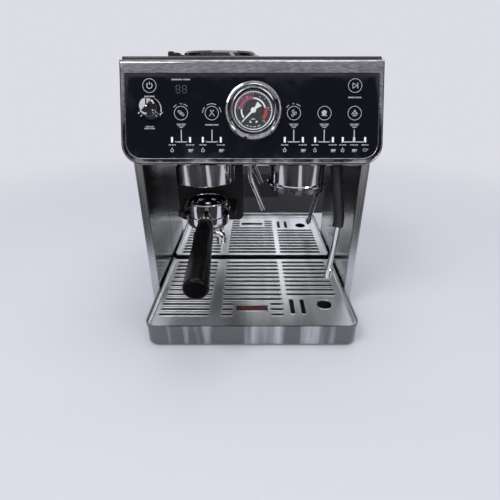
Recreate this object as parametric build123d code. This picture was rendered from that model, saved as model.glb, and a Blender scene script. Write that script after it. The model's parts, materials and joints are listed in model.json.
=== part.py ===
"""Espresso machine with a built-in grinder: every piece as its own solid, in millimetres.

+Z is up, the front of the machine looks along -Y, and the origin is on the table under the middle.
"""
import os
from math import cos, radians, sin, tan

from build123d import *

# Whole machine
BODY_W = 320.0            # over the two steel sides
SIDE_T = 12.0             # width of a side column seen from the front
SHEET = 1.2               # folded steel sheet
BACK_Y = 143.0            # back of the steel body
COLUMN_Y = -44.0          # front edge of the side columns
SPLASH_Y = 68.0           # polished panel at the back of the cup bay
BASE_Z = 4.0              # underside of the base pan, on its feet
BASE_T = 2.0
HEAD_Z = 243.0            # underside of the head
HEAD_FLOOR_T = 3.0
BODY_TOP_Z = 353.0        # top of the steel sides
DECK_T = 6.0              # black top deck
BAY_HALF = BODY_W / 2 - SIDE_T
HEAD_ROUND = 24.5         # rounded lower edge of the overhanging head

# Slanted control panel: local x to the right, y up the slope, z out of the panel
PANEL_TOP = (-43.0, 353.0)
PANEL_BOTTOM = (-90.0, 241.0)
PANEL_H = ((PANEL_TOP[0] - PANEL_BOTTOM[0]) ** 2 + (PANEL_TOP[1] - PANEL_BOTTOM[1]) ** 2) ** 0.5
PANEL_TILT = 22.765
PANEL = Plane(
    origin=(0, (PANEL_TOP[0] + PANEL_BOTTOM[0]) / 2, (PANEL_TOP[1] + PANEL_BOTTOM[1]) / 2),
    x_dir=(1, 0, 0),
    z_dir=(0, -cos(radians(PANEL_TILT)), sin(radians(PANEL_TILT))),
)
FRAME_T = 9.0
FRAME_RISE = 4.5          # the frame's top stands in front of the deck's edge
FRAME_ROLL = 6.0          # radius of the roll along the frame's top
DECK_Y = -32.7            # front edge of the deck
FRAME_TOP_BAR = 13.0
FRAME_SIDE_BAR = 5.7
FRAME_LOW_BAR = 6.3
FRAME_LOW_R = 25.0
GLASS_T = 3.0
GLASS_FACE = -0.8
CARRIER_T = 3.0
CARRIER_LOW = 12.0        # the carrier stops above the head's floor
BOARD_T = 1.6
BOARD_FACE = -17.0

# Panel fittings, as (x, y) on the panel
GAUGE_AT = (1.7, 3.6)
GAUGE_R = 34.6
GAUGE_CAN_R = 29.0
DIAL_R = 25.0
KNOB_AT = (-125.0, 5.9)
KNOB_R = 9.8
KNOB_RIDGES = 24
KEY_R = 8.75
KEY_GAP = 0.25
KEY_ROW_Y = 0.6
KEY_TOP_Y = 33.0
KEYS = {
    "power_key": (-123.8, KEY_TOP_Y),
    "start_key": (124.4, KEY_TOP_Y),
    "basket_size_key": (-86.2, KEY_ROW_Y),
    "program_key": (-48.8, KEY_ROW_Y),
    "one_cup_key": (50.9, KEY_ROW_Y),
    "two_cup_key": (88.0, KEY_ROW_Y),
    "steam_key": (124.6, KEY_ROW_Y),
}

# Grinder: outlet over the cradle, burr axis further back under the hopper
OUTLET_X = -69.0
BURR_AT = (-46.0, 60.0)
MOTOR_AT = (-92.0, 106.0)
GRIND_SHROUD_R = 43.5
GRIND_SHROUD_Z = 197.0
CHUTE_Z = 206.0
CHUTE_R = 23.0
GEARBOX_Z = 249.0
GEARBOX_T = 15.0
CHAMBER_R = 39.0
CHAMBER_TOP = 322.0
BURR_Z = (292.0, 318.0)
BURR_TEETH = 9
COLLAR_R = 60.5
COLLAR_Z = 337.5
HOPPER_R = 50.6
HOPPER_RIM_Z = 362.2
LID_R = 51.0
LID_TOP = 367.0
LID_LIP = 1.2

# Brew group
GROUP_X = 67.0
GROUP_SHROUD_R = 40.0
GROUP_SHROUD_Z = 193.0
GROUP_RIM_R = 44.0        # rolled rim round the foot of the group's sleeve
GROUP_Z = 184.0
GROUP_R = 38.0
GROUP_BORE_R = 32.6
EAR_R = 35.8
EAR_W = 18.0
EAR_Z = (150.0, 156.0)
BOILER_R = 39.0
BOILER_Z = (250.0, 316.0)

# Portafilter resting in the cradle
RING_R = 31.75
RING_TOP = 164.0
BOWL_R = 33.4             # body of the bowl, under the ears
BOWL_TOP = 144.0          # clear of the group's lip when the ears are locked
BOWL_Z = 119.0
BASKET_R = 27.9
BASKET_Z = 140.0
HANDLE_DROP = 9.2         # degrees below level
HANDLE_TURN = 1.3         # degrees: the portafilter rests slightly askew in the fork
HANDLE_FROM = 46.0        # measured along the handle from the ring's axis
HANDLE_TO = 187.63
HANDLE_HUB_Z = 149.0
SPOUT_HALF = 19.5
SPOUT_R = 7.4
SPOUT_Z = 93.0
CRADLE_Y = 46.0
CRADLE_HALF = 54.0
CRADLE_Z = (112.0, 215.0)
TRIGGER_Z = 157.0

# Steam wand and hot-water spout
WAND_X = 122.0
WAND_PATH = [(122, 0, 230), (133, -20, 140), (119.5, -43.5, 54)]
WAND_BEND = 60.0
WAND_R = 4.5
SLEEVE_R = 8.0
BALL_R = 8.2
SPOUT_PATH = [(-3, -3, HEAD_Z), (-3, -3, 200), (17.5, -3, 150)]
HOT_SPOUT_R = 4.3

# Drip tray
TRAY_Y = -143.0
TRAY_HALF = 147.5
TRAY_CORNER = 17.0
TRAY_RIM_Z = 34.0
TRAY_LOW_Z = 3.0
TRAY_STEP_Z = 29.0
PAN_BACK_Y = 62.0
PAN_FLOOR_Z = 6.1
PAN_WALL = 2.0
PLATE_Z = 26.4
PLATE_T = 1.6
PLATE_EDGE = 4.0
SLOT_PITCH = 12.95
SLOT_ROWS = 13
SLOT_W = 5.4
FIRST_SLOT_Y = -108.5
WINDOW = (47.0, 12.6)
WINDOW_Y = -93.0
FINGER_HOLE = (109.0, -84.0, 11.0)

# Water tank
TANK_X = (-140.0, 104.0)
TANK_Y = (146.5, 187.0)
TANK_Z = (15.5, 336.0)
TANK_WALL = 2.5
TANK_CORNER = 9.0
LID_PIN_R = 1.5
DOCK_X = -20.0
DOCK_PIPE_Z = 10.6
LINE_R = 2.5              # water pipes
GLAND_AT = (126.0, BACK_Y - 2 * SHEET, 30.0)


def on_panel(x, y, z=0.0):
    """Location on the control panel: z counts outwards from the face of the frame."""
    return PANEL.location * Pos(x, y, z)


def block(x0, x1, y0, y1, z0, z1):
    """Box between two corners."""
    return Pos((x0 + x1) / 2, (y0 + y1) / 2, (z0 + z1) / 2) * Box(x1 - x0, y1 - y0, z1 - z0)


def drum(x, y, z0, z1, radius):
    """Upright cylinder between two heights."""
    return Pos(x, y, (z0 + z1) / 2) * Cylinder(radius, z1 - z0)


def turned(points, x=0.0, y=0.0):
    """Solid turned about an upright axis from its (radius, z) half section."""
    section = Plane.XZ * make_face(Polyline(*points, close=True))
    return Pos(x, y, 0) * revolve(section, Axis.Z)


def panel_disc(at, radius, low, high):
    """Cylinder square to the control panel, between two heights over its face."""
    return on_panel(at[0], at[1], (low + high) / 2) * Cylinder(radius, high - low)


def pipe(points, bend, radius, bore=0.0):
    """Round tube along straight runs joined by one bend radius."""
    path = FilletPolyline(*points, radius=bend)
    ring = Circle(radius) - Circle(bore) if bore else Circle(radius)
    return sweep(Plane(origin=path @ 0, z_dir=path % 0) * ring, path=path)


def behind_panel(y_at_top, depth):
    """(y, z) pairs of the slanted line `depth` behind the panel, at two heights."""
    slope = tan(radians(PANEL_TILT))
    shift = depth / cos(radians(PANEL_TILT))
    return [(PANEL_TOP[0] + shift - slope * (PANEL_TOP[1] - z), z) for z in y_at_top]


def base_pan():
    """Base plate with the rib under the splash panel and the dock of the water tank."""
    low, top = BASE_Z, BASE_Z + BASE_T
    pan = block(-145, 145, -128, COLUMN_Y, low, top)
    pan += block(-147.5, 147.5, COLUMN_Y, BACK_Y - SHEET, low, top)
    pan += block(TANK_X[0], TANK_X[1], BACK_Y - SHEET, TANK_Y[1], low, top)
    pan += block(-147.5, 147.5, SPLASH_Y + 1.5, SPLASH_Y + 4, top, 26)
    dock = block(TANK_X[0] + 4, TANK_X[1] - 4, TANK_Y[0], TANK_Y[1] - 1, top, TANK_Z[0])
    dock = fillet(dock.edges().filter_by(Axis.Z), TANK_CORNER - 3)
    dock -= drum(DOCK_X, 167, DOCK_PIPE_Z, TANK_Z[0], 8)
    dock -= Pos(DOCK_X, 157, DOCK_PIPE_Z) * Rot(90, 0, 0) * Cylinder(LINE_R, 24)
    return pan + dock


def rubber_feet():
    """Four moulded feet, wider at the top."""
    foot = turned([(0, 0), (9, 0), (10.5, 1), (11.5, BASE_Z), (0, BASE_Z)])
    places = [(x, y) for x in (-120, 120) for y in (-104, 118)]
    return Compound(children=[Pos(x, y, 0) * foot for x, y in places])


def side_panel(sign):
    """Folded steel side: a shallow pan, open towards the inside of the body."""
    slant = behind_panel((BODY_TOP_Z, HEAD_Z + HEAD_ROUND), FRAME_T)
    outline = [
        (COLUMN_Y, BASE_Z), (BACK_Y, BASE_Z), (BACK_Y, BODY_TOP_Z), slant[0], slant[1],
        (COLUMN_Y, HEAD_Z + HEAD_ROUND),
    ]
    face = make_face(Polyline(*outline, close=True))
    pocket = offset(face, -SHEET, kind=Kind.INTERSECTION)
    inner, outer = BAY_HALF + SHEET, BODY_W / 2
    place = Plane(origin=(inner, 0, 0), x_dir=(0, 1, 0), z_dir=(1, 0, 0))
    pan = extrude(place * face, outer - inner)
    pan = fillet(pan.faces().sort_by(Axis.X)[-1].edges(), 1.0)
    pan -= extrude(place * pocket, outer - inner - SHEET)
    return pan if sign > 0 else mirror(pan, Plane.YZ)


def niche_wall(sign):
    """Polished sheet that lines the cup bay, with a flange behind the splash panel."""
    wall = block(BAY_HALF, BAY_HALF + SHEET, COLUMN_Y, SPLASH_Y, BASE_Z + BASE_T, HEAD_Z)
    wall += block(BAY_HALF, BAY_HALF + SHEET, SPLASH_Y, SPLASH_Y + 14, 30, HEAD_Z - 4)
    return wall if sign > 0 else mirror(wall, Plane.YZ)


def splash_panel():
    """Polished panel at the back of the bay, folded back along its top and bottom."""
    back = SPLASH_Y + 1.5
    low = 26.0
    profile = [
        (SPLASH_Y, low), (back + 10, low), (back + 10, low + 1.5), (back, low + 1.5),
        (back, HEAD_Z - 1.5), (back + 12, HEAD_Z - 1.5), (back + 12, HEAD_Z), (SPLASH_Y, HEAD_Z),
    ]
    face = Plane.YZ * make_face(Polyline(*profile, close=True))
    return extrude(face, BAY_HALF - 0.2, both=True)


def rear_cover():
    """Sheet that closes the back, with louvre slots high up and the hole of the cord gland."""
    front, back = BACK_Y - 2 * SHEET, BACK_Y - SHEET
    cover = block(-BAY_HALF + 0.5, BAY_HALF - 0.5, front, back, BASE_Z + BASE_T, BODY_TOP_Z)
    slot = extrude(Plane.XZ * SlotOverall(60, 4), 6, both=True)
    for row in range(4):
        for x in (-80, 0, 80):
            cover -= Pos(x, back, 300 + 10 * row) * slot
    cover -= Pos(DOCK_X, back, DOCK_PIPE_Z) * Rot(90, 0, 0) * Cylinder(LINE_R + 0.4, 10)
    return cover - Pos(*GLAND_AT) * Rot(90, 0, 0) * Cylinder(7.1, 10)


def cord_gland():
    """Flanged bush in the rear cover that a supply lead passes through."""
    bush = turned([(4, -8), (6.6, -8), (7.0, 0), (7.0, SHEET), (10, SHEET), (9, 6), (6, 7), (4, 7)])
    return Pos(*GLAND_AT) * Rot(-90, 0, 0) * bush


def head_floor():
    """Moulded underside of the head: flat over the bay, with rounded edges where it overhangs."""
    top = HEAD_Z + HEAD_FLOOR_T
    outline = Pos(0, HEAD_Z + HEAD_ROUND / 2) * Rectangle(BODY_W, HEAD_ROUND)
    outline = fillet(outline.vertices().group_by(Axis.Y)[0], HEAD_ROUND - 0.5)
    hollow = Pos(0, top + 30) * Rectangle(BODY_W - 5, 60)
    hollow = fillet(hollow.vertices().group_by(Axis.Y)[0], HEAD_ROUND - 3)
    shell = extrude(Plane.XZ.offset(-COLUMN_Y) * (outline - hollow), 60)
    shell = split(shell, bisect_by=PANEL.offset(-FRAME_T), keep=Keep.BOTTOM)
    floor = shell + block(-BAY_HALF + 0.2, BAY_HALF - 0.2, COLUMN_Y, SPLASH_Y, HEAD_Z, top)
    floor -= drum(OUTLET_X, 0, HEAD_Z - 1, top + 1, CHUTE_R + 0.3)
    floor -= drum(GROUP_X, 0, HEAD_Z - 1, top + 1, 30.2)
    floor -= drum(WAND_X, 0, HEAD_Z - 1, top + 1, 6.2)
    floor -= drum(SPOUT_PATH[0][0], SPOUT_PATH[0][1], HEAD_Z - 1, top + 1, 6.2)
    for x, y in ((-28, 36), (-76, 52), (-20, 62)):
        floor += drum(x, y, top, GEARBOX_Z, 4)
    return floor


def top_deck():
    """Black top cover with a softly rounded edge and the round opening of the hopper."""
    low, high = BODY_TOP_Z, BODY_TOP_Z + DECK_T
    deck = block(-BODY_W / 2, BODY_W / 2, DECK_Y, BACK_Y, low, high)
    deck = fillet(deck.edges().filter_by(Axis.Z), 5)
    deck = fillet(deck.faces().sort_by(Axis.Z)[-1].edges(), 2)
    deck -= block(-146, 146, -24, BACK_Y - 8, low, high - 2.5)
    deck += drum(BURR_AT[0], BURR_AT[1], low, high - 2.5, 58)
    deck -= drum(BURR_AT[0], BURR_AT[1], low - 1, high + 1, 53.6)
    cup_rest = Pos(78, 66, high) * Box(112, 104, 1.2)
    return deck - fillet(cup_rest.edges().filter_by(Axis.Z), 10)


def panel_outline(inset_top, inset_side, inset_low, low_radius, top_radius):
    """Panel shape on its own plane: square above, well rounded below."""
    width = BODY_W - 2 * inset_side
    height = PANEL_H - inset_top - inset_low
    shape = Pos(0, (inset_low - inset_top) / 2) * Rectangle(width, height)
    shape = fillet(shape.vertices().group_by(Axis.Y)[0], low_radius)
    return fillet(shape.vertices().group_by(Axis.Y)[-1], top_radius)


def panel_frame():
    """Plated frame round the control glass, with rounded outer edges and a roll along its top."""
    frame = extrude(panel_outline(-FRAME_RISE, 0, 0, FRAME_LOW_R, 2), -FRAME_T)
    frame = fillet(frame.faces().sort_by(Axis.Z)[-1].edges(), 2.2)
    opening = panel_outline(FRAME_TOP_BAR, FRAME_SIDE_BAR, FRAME_LOW_BAR, FRAME_LOW_R - 6, 1)
    frame -= extrude(opening, -FRAME_T)
    end = Pos(FRAME_RISE / 2, -FRAME_T / 2) * Rectangle(PANEL_H + FRAME_RISE, FRAME_T)
    end = fillet(end.vertices().group_by(Axis.X)[-1].sort_by(Axis.Y)[-1], FRAME_ROLL)
    roll = extrude(Plane.YZ * end, BODY_W, both=True)
    return PANEL.location * (frame & roll)


def panel_glass():
    """Black control glass, pierced for the keys, the knob and the gauge."""
    gap = 0.15
    shape = panel_outline(
        FRAME_TOP_BAR + gap, FRAME_SIDE_BAR + gap, FRAME_LOW_BAR + gap, FRAME_LOW_R - 6, 1)
    for x, y in KEYS.values():
        shape -= Pos(x, y) * Circle(KEY_R + KEY_GAP)
    shape -= Pos(*KNOB_AT) * Circle(3.6)
    shape -= Pos(*GAUGE_AT) * Circle(GAUGE_CAN_R + 0.3)
    return PANEL.location * Pos(0, 0, GLASS_FACE) * extrude(shape, -GLASS_T)


def panel_carrier():
    """Moulded plate behind the glass: a rim that the glass sits on, and guides for the keys."""
    glass_back = GLASS_FACE - GLASS_T
    plate = panel_outline(4, SIDE_T + SHEET, CARRIER_LOW, FRAME_LOW_R - 10, 2)
    rim = panel_outline(FRAME_TOP_BAR + 1, SIDE_T + SHEET, CARRIER_LOW, FRAME_LOW_R - 10, 1)
    carrier = extrude(Pos(0, 0, -FRAME_T) * plate, -CARRIER_T)
    carrier += extrude(Pos(0, 0, glass_back) * (rim - offset(rim, -3)), -glass_back - FRAME_T)
    guide = Cylinder(5, FRAME_T + CARRIER_T - 8.6)
    for x, y in KEYS.values():
        carrier += Pos(x, y, -(FRAME_T + CARRIER_T + 8.6) / 2) * guide
        carrier -= Pos(x, y, -FRAME_T) * Cylinder(3.15, 20)
    carrier -= Pos(*KNOB_AT, -FRAME_T) * Cylinder(3.3, 20)
    carrier -= Pos(*GAUGE_AT, -FRAME_T) * Cylinder(GAUGE_CAN_R + 0.4, 20)
    for x in (-140, -28, 34, 140):
        for y in (-42, 42):
            carrier += Pos(x, y, (BOARD_FACE - FRAME_T - CARRIER_T) / 2) * Cylinder(3, 5)
    return PANEL.location * carrier


def control_board():
    """Circuit board on the carrier's posts, with relays, a transformer and the knob's encoder."""
    board = extrude(Rectangle(286, 92), -BOARD_T)
    board -= extrude(Pos(*GAUGE_AT) * Circle(GAUGE_CAN_R + 2), -BOARD_T)
    for x in (-112, -88, 70, 94):
        board += Pos(x, -22, -BOARD_T - 7.5) * Box(19, 15, 15)
    board += Pos(112, 20, -BOARD_T - 10) * Box(26, 30, 20)
    board += Pos(*KNOB_AT, -BOARD_T - 3) * Box(13, 13, 6)
    return PANEL.location * Pos(0, 0, BOARD_FACE) * board


def push_key(at):
    """Round key: a slightly crowned cap, a flange behind the glass and a guided stem."""
    glass_back = GLASS_FACE - GLASS_T - 0.1
    face = GLASS_FACE + 0.3
    cap = [
        (0, -14), (2.9, -14), (2.9, glass_back - 1.4), (KEY_R + 1.3, glass_back - 1.4),
        (KEY_R + 1.3, glass_back), (KEY_R, glass_back), (KEY_R, face - 0.4), (KEY_R - 0.4, face),
        (0, face),
    ]
    return on_panel(*at) * turned(cap)


def gauge_case():
    """Pressure gauge can with its grooved bezel; the dial sits on an inner shoulder."""
    rim, seat = GAUGE_R, DIAL_R + 0.6
    section = [
        (0, -26), (GAUGE_CAN_R, -26), (GAUGE_CAN_R, GLASS_FACE), (rim, GLASS_FACE), (rim, 2.2),
        (rim - 1.4, 4.0), (rim - 3.2, 4.4), (rim - 3.4, 3.0), (rim - 4.4, 3.0), (rim - 4.6, 5.4),
        (rim - 5.6, 6.2), (rim - 7.2, 6.2), (seat + 0.8, 4.6), (seat, 4.4), (seat, -1.0),
        (DIAL_R - 3, -1.0), (DIAL_R - 3, -22), (0, -22),
    ]
    return on_panel(*GAUGE_AT) * turned(section)


def gauge_dial():
    """Printed dial plate with the hole of the needle's arbor."""
    plate = Cylinder(DIAL_R + 0.4, 1) - Cylinder(1.5, 2)
    return on_panel(*GAUGE_AT, -0.5) * plate


def gauge_lens():
    """Clear window held in the bezel."""
    return panel_disc(GAUGE_AT, DIAL_R + 0.5, 3.0, 4.3)


def gauge_movement():
    """Spring tube and toothed sector under the dial, with the bearing of the needle."""
    tube = Torus(15, 3)
    tube -= Pos(14, -14, 0) * Box(28, 28, 10)
    base = Pos(0, 0, -8.5) * Box(26, 34, 5)
    post = Pos(0, 0, -4) * (Cylinder(4.2, 6) - Cylinder(1.1, 20))
    return on_panel(*GAUGE_AT, -11) * (base + post + Pos(0, 0, -5) * tube)


def gauge_needle():
    """Tapered pointer with a fan-shaped tail, on its arbor; at rest it points to the low stop."""
    outline = [(-1.4, -4), (-3.6, -10.5), (3.6, -10.5), (1.4, -4), (0.45, 19.5), (-0.45, 19.5)]
    blade = extrude(make_face(Polyline(*outline, close=True)), 0.7)
    hub = Pos(0, 0, 0.4) * Cylinder(3.2, 1.4)
    arbor = Pos(0, 0, -5.5) * Cylinder(1.0, 11)
    return on_panel(*GAUGE_AT, 1.0) * Rot(0, 0, 135) * (blade + hub + arbor)


def dose_knob():
    """Knurled knob on its shaft, with a raised pointer across the face."""
    knob = turned([
        (0, -16), (2.9, -16), (2.9, 0), (KNOB_R, 0), (KNOB_R, 9.6), (KNOB_R - 1.6, 11.6), (0, 12)])
    for i in range(KNOB_RIDGES):
        knob -= Rot(0, 0, i * 360 / KNOB_RIDGES) * Pos(KNOB_R + 0.35, 0, 6) * Box(1.3, 0.9, 9)
    knob += Pos(0, KNOB_R / 2 - 0.6, 11.6) * Box(1.6, KNOB_R - 2.2, 1.6)
    return on_panel(*KNOB_AT, -0.3) * knob


def grinder_shroud():
    """Plated sleeve round the grinder's outlet, turned in along its lower edge."""
    outer, low = GRIND_SHROUD_R, GRIND_SHROUD_Z
    return turned([
        (outer - 1.5, HEAD_Z), (outer - 1.5, low + 1.6), (outer - 4, low + 1.6), (outer - 4, low),
        (outer - 1.2, low), (outer, low + 1.2), (outer, HEAD_Z)], OUTLET_X)


def grounds_chute():
    """Chute that drops the grounds into the portafilter, with an inlet facing the burrs."""
    top = HEAD_Z + HEAD_FLOOR_T
    bore = CHUTE_R - 2
    chute = turned([
        (bore, CHUTE_Z), (CHUTE_R, CHUTE_Z), (CHUTE_R, top), (30, top), (30, top + 2.4),
        (CHUTE_R, top + 2.4), (CHUTE_R, 290), (0, 290), (0, 287.6), (bore, 287.6)], OUTLET_X)
    inlet = block(-7.5, 7.5, 0, 30, 267, 283)
    return chute - Pos(OUTLET_X, 0, 0) * Rot(0, 0, -21) * inlet


def cradle():
    """Fork that the portafilter's ears slide onto, on a block fixed to the splash panel."""
    low, high = CRADLE_Z
    front = Pos(0, (low + high) / 2) * RectangleRounded(2 * CRADLE_HALF, high - low, 9)
    body = extrude(Plane.XZ.offset(-CRADLE_Y) * front, -(SPLASH_Y - CRADLE_Y))
    body = fillet(body.faces().sort_by(Axis.Y)[0].edges(), 2.5)
    body -= Pos(0, CRADLE_Y, 136) * Cylinder(33, 30)
    arm = [
        (CRADLE_Y + 1, 128), (CRADLE_Y + 1, EAR_Z[0]), (-16, EAR_Z[0]), (-19, 147), (-17, 143), (8, 140)]
    for x in (-39, 39):
        blade = extrude(Plane.YZ.offset(x) * make_face(Polyline(*arm, close=True)), 4.5, both=True)
        body += blade
    hole = Pos(0, CRADLE_Y + 10, TRIGGER_Z) * Rot(90, 0, 0) * Cylinder(5.3, 30)
    return Pos(OUTLET_X, 0, 0) * (body - hole)


def grind_trigger():
    """Button at the back of the cradle that the portafilter pushes to start the grinder."""
    button = turned([(0, 0), (4.9, 0), (4.9, 16), (3.9, 17), (0, 17.6)])
    return Pos(OUTLET_X, CRADLE_Y + 8, TRIGGER_Z) * Rot(90, 0, 0) * button


def grinder_motor():
    """Upright motor behind the splash panel, under the gear case that reaches the burr shaft."""
    motor = turned([
        (0, 158), (12, 158), (12, 162), (27, 162), (29, 165), (29, 232), (24, 236), (24, GEARBOX_Z),
        (0, GEARBOX_Z)], *MOTOR_AT)
    ends = [Pos(*MOTOR_AT) * Circle(30), Pos(*BURR_AT) * Circle(33)]
    case = Plane.XY.offset(GEARBOX_Z) * make_hull(ends[0].edges() + ends[1].edges())
    case = extrude(case, GEARBOX_T)
    case -= drum(BURR_AT[0], BURR_AT[1], GEARBOX_Z + 5, 300, 5)
    return motor + case


def burr_chamber():
    """Cup that holds the burrs, with the outlet that feeds the chute."""
    low = GEARBOX_Z + GEARBOX_T
    cup = turned([
        (6, low), (CHAMBER_R, low), (CHAMBER_R, CHAMBER_TOP), (CHAMBER_R - 2.6, CHAMBER_TOP),
        (CHAMBER_R - 2.6, low + 3), (6, low + 3)])
    turn = Rot(0, 0, 159)
    spout = block(-9.5, 9.5, 34, 40.6, 267, 283) - block(-20, 20, 0, CHAMBER_R - 2.6, 260, 290)
    cup += turn * spout
    cup -= turn * block(-7.5, 7.5, 20, 50, 269, 281)
    return Pos(*BURR_AT, 0) * cup


def cone_burr():
    """Inner conical burr with slanting teeth, on the drive shaft with its sweeper disc."""
    low, high = BURR_Z
    floor = GEARBOX_Z + GEARBOX_T + 3
    burr = turned([
        (0, GEARBOX_Z + 6), (4.9, GEARBOX_Z + 6), (4.9, floor + 1), (33, floor + 1), (33, floor + 4),
        (8, floor + 4), (8, low), (21, low), (21.5, low + 3), (9, high), (5, high + 3), (0, high + 3)])
    groove = Pos(17.5, 0, (low + high) / 2 + 1) * Rot(0, -27, 0) * Rot(18, 0, 0) * Box(3, 3.2, 40)
    for i in range(BURR_TEETH):
        burr -= Rot(0, 0, i * 360 / BURR_TEETH) * groove
    return Pos(*BURR_AT, 0) * burr


def ring_burr():
    """Outer burr ring, toothed inside, in the carrier that hangs from the grind collar."""
    low, high = BURR_Z
    ring = turned([
        (25, low), (36, low), (36, COLLAR_Z - 2.5), (53, COLLAR_Z - 2.5), (53, COLLAR_Z), (34, COLLAR_Z),
        (34, high), (17, high), (24, low + 5)])
    groove = Pos(20.5, 0, (low + high) / 2 + 6) * Rot(0, -24, 0) * Rot(-18, 0, 0) * Box(3, 3, 40)
    for i in range(BURR_TEETH + 3):
        ring -= Rot(0, 0, i * 360 / (BURR_TEETH + 3)) * groove
    return Pos(*BURR_AT, 0) * ring


def grind_collar():
    """Ring on the deck that sets the grind: it carries the burr ring and has a finger lever."""
    deck = BODY_TOP_Z + DECK_T
    collar = turned([
        (51, COLLAR_Z), (53, COLLAR_Z), (53, deck + 0.2), (COLLAR_R, deck + 0.2), (COLLAR_R, deck + 1.2),
        (COLLAR_R - 0.8, deck + 1.7), (51, deck + 1.7)])
    arm = block(-74, -56, -8, 8, deck + 0.4, deck + 1.7)
    lever = fillet(arm.edges().filter_by(Axis.Z), 3)
    for x, high in ((-69.5, 8.4), (-60.5, 6.6)):
        hump = block(x - 4.2, x + 4.2, -7.5, 7.5, deck + 1, deck + high)
        lever += fillet(hump.faces().sort_by(Axis.Z)[-1].edges().filter_by(Axis.Y), 3)
    return Pos(*BURR_AT, 0) * (collar + lever)


def hopper():
    """Smoked bean hopper sunk in the deck: a funnel with a throat down to the burrs."""
    rim = HOPPER_RIM_Z
    return turned([
        (HOPPER_R, rim - 1.4), (56, rim - 1.4), (56, rim), (HOPPER_R - 2, rim), (HOPPER_R - 2, 353),
        (20, 340), (20, 322), (22, 322), (22, 338.6), (HOPPER_R, 352)], *BURR_AT)


def hopper_lid():
    """Low lid with a lip inside the hopper's mouth and a finger bar across a dished top."""
    low, high = HOPPER_RIM_Z, LID_TOP
    lip = HOPPER_R - 2.6
    lid = turned([
        (0, high - 2.4), (34, high - 2.4), (37, high), (LID_R - 3, high), (LID_R, high - 2.4), (LID_R, low),
        (lip, low), (lip, low - LID_LIP), (lip - 1.8, low - LID_LIP), (lip - 1.8, low + 1), (0, low + 1)])
    bar = block(-35, 35, -4, 4, high - 2.6, high)
    lid += fillet(bar.faces().sort_by(Axis.Z)[-1].edges().filter_by(Axis.X), 1.2)
    return Pos(*BURR_AT, 0) * lid


def group_shroud():
    """Plated sleeve round the brew group, with a rolled rim round its foot."""
    outer, rim, low = GROUP_SHROUD_R, GROUP_RIM_R, GROUP_SHROUD_Z
    return turned([
        (outer - 1.4, HEAD_Z), (outer - 1.4, low), (rim - 0.8, low), (rim, low + 0.8), (rim, low + 2.2),
        (rim - 0.8, low + 3), (outer, low + 3), (outer, HEAD_Z)], GROUP_X)


def group_head():
    """Brew group with the bayonet that locks the portafilter: two entries, then a groove."""
    top = HEAD_Z + HEAD_FLOOR_T
    head = turned([
        (GROUP_BORE_R, GROUP_Z), (GROUP_R, GROUP_Z), (GROUP_R, HEAD_Z), (30, HEAD_Z), (30, top),
        (34, top), (34, BOILER_Z[0]), (0, BOILER_Z[0]), (0, 207), (GROUP_BORE_R - 0.6, 207),
        (GROUP_BORE_R - 0.6, 197), (EAR_R + 0.6, 197), (EAR_R + 0.6, 189), (GROUP_BORE_R, 189)])
    for angle in (0, 180):
        head -= Rot(0, 0, angle) * block(20, EAR_R + 0.6, -EAR_W / 2 - 2, EAR_W / 2 + 2, GROUP_Z - 1, 190)
    head -= drum(0, 0, 206, BOILER_Z[0] + 1, 3)
    return Pos(GROUP_X, 0, 0) * head


def group_gasket():
    """Rubber sealing ring at the root of the group's bore."""
    return turned([(26, 200), (31.6, 200), (31.6, 207), (26, 207)], GROUP_X)


def shower_screen():
    """Dished, perforated screen that spreads the brew water, with its centre screw."""
    screen = turned([(0, 201), (24, 201), (25.7, 202.5), (25.7, 207), (24.9, 207), (24.9, 203), (0, 203)])
    for ring, count in ((9, 6), (15, 10), (20.5, 14)):
        for i in range(count):
            screen -= Rot(0, 0, i * 360 / count) * Pos(ring, 0, 202) * Cylinder(0.9, 4)
    screen += turned([(0, 199.2), (4, 199.2), (5, 200.2), (5, 201), (0, 201)])
    return Pos(GROUP_X, 0, 0) * screen


def boiler():
    """Cast heater on top of the group, with its clamp ring and heater terminals."""
    low, high = BOILER_Z
    body = turned([
        (0, low), (BOILER_R, low), (BOILER_R, low + 9), (BOILER_R - 5, low + 9), (BOILER_R - 5, high - 12),
        (BOILER_R - 9, high), (0, high)])
    for angle in (30, 150, 270):
        body += Rot(0, 0, angle) * drum(BOILER_R - 2.8, 0, low + 9, low + 15, 2.6)
    for x in (-14, 14):
        body += drum(x, 0, high, high + 12, 3)
    return Pos(GROUP_X, 0, 0) * body


def pump():
    """Vibration pump on a saddle, with its coil yoke and its two nipples."""
    body = Rot(0, 90, 0) * Cylinder(16, 84)
    body += Box(36, 40, 44)
    body += Rot(0, 90, 0) * Cylinder(4, 116)
    body = Pos(30, 105, 40) * body
    return body + block(14, 46, 89, 121, BASE_Z + BASE_T, 19)


def water_lines():
    """Pipes from the tank's dock to the pump, and from the pump up to the boiler."""
    inlet = [
        (DOCK_X, TANK_Y[0], DOCK_PIPE_Z), (DOCK_X, 116, DOCK_PIPE_Z), (-52, 105, 24), (-52, 105, 40),
        (-28, 105, 40)]
    feed = [(88, 105, 40), (127, 105, 40), (127, 105, 284), (127, 28, 284), (98, 14.46, 284)]
    return Compound(children=[pipe(inlet, 5, LINE_R), pipe(feed, 12, LINE_R)])


def steam_socket():
    """Nut under the head that holds the ball of the steam wand."""
    cup = BALL_R + 0.35
    nut = turned([
        (6, HEAD_Z + 9), (6, HEAD_Z), (12.5, HEAD_Z), (12.5, 229), (11, 227), (7.6, 227), (cup, 232),
        (cup, 241), (3, 241), (3, HEAD_Z + 9)])
    return Pos(WAND_X, 0, 0) * nut


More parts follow.
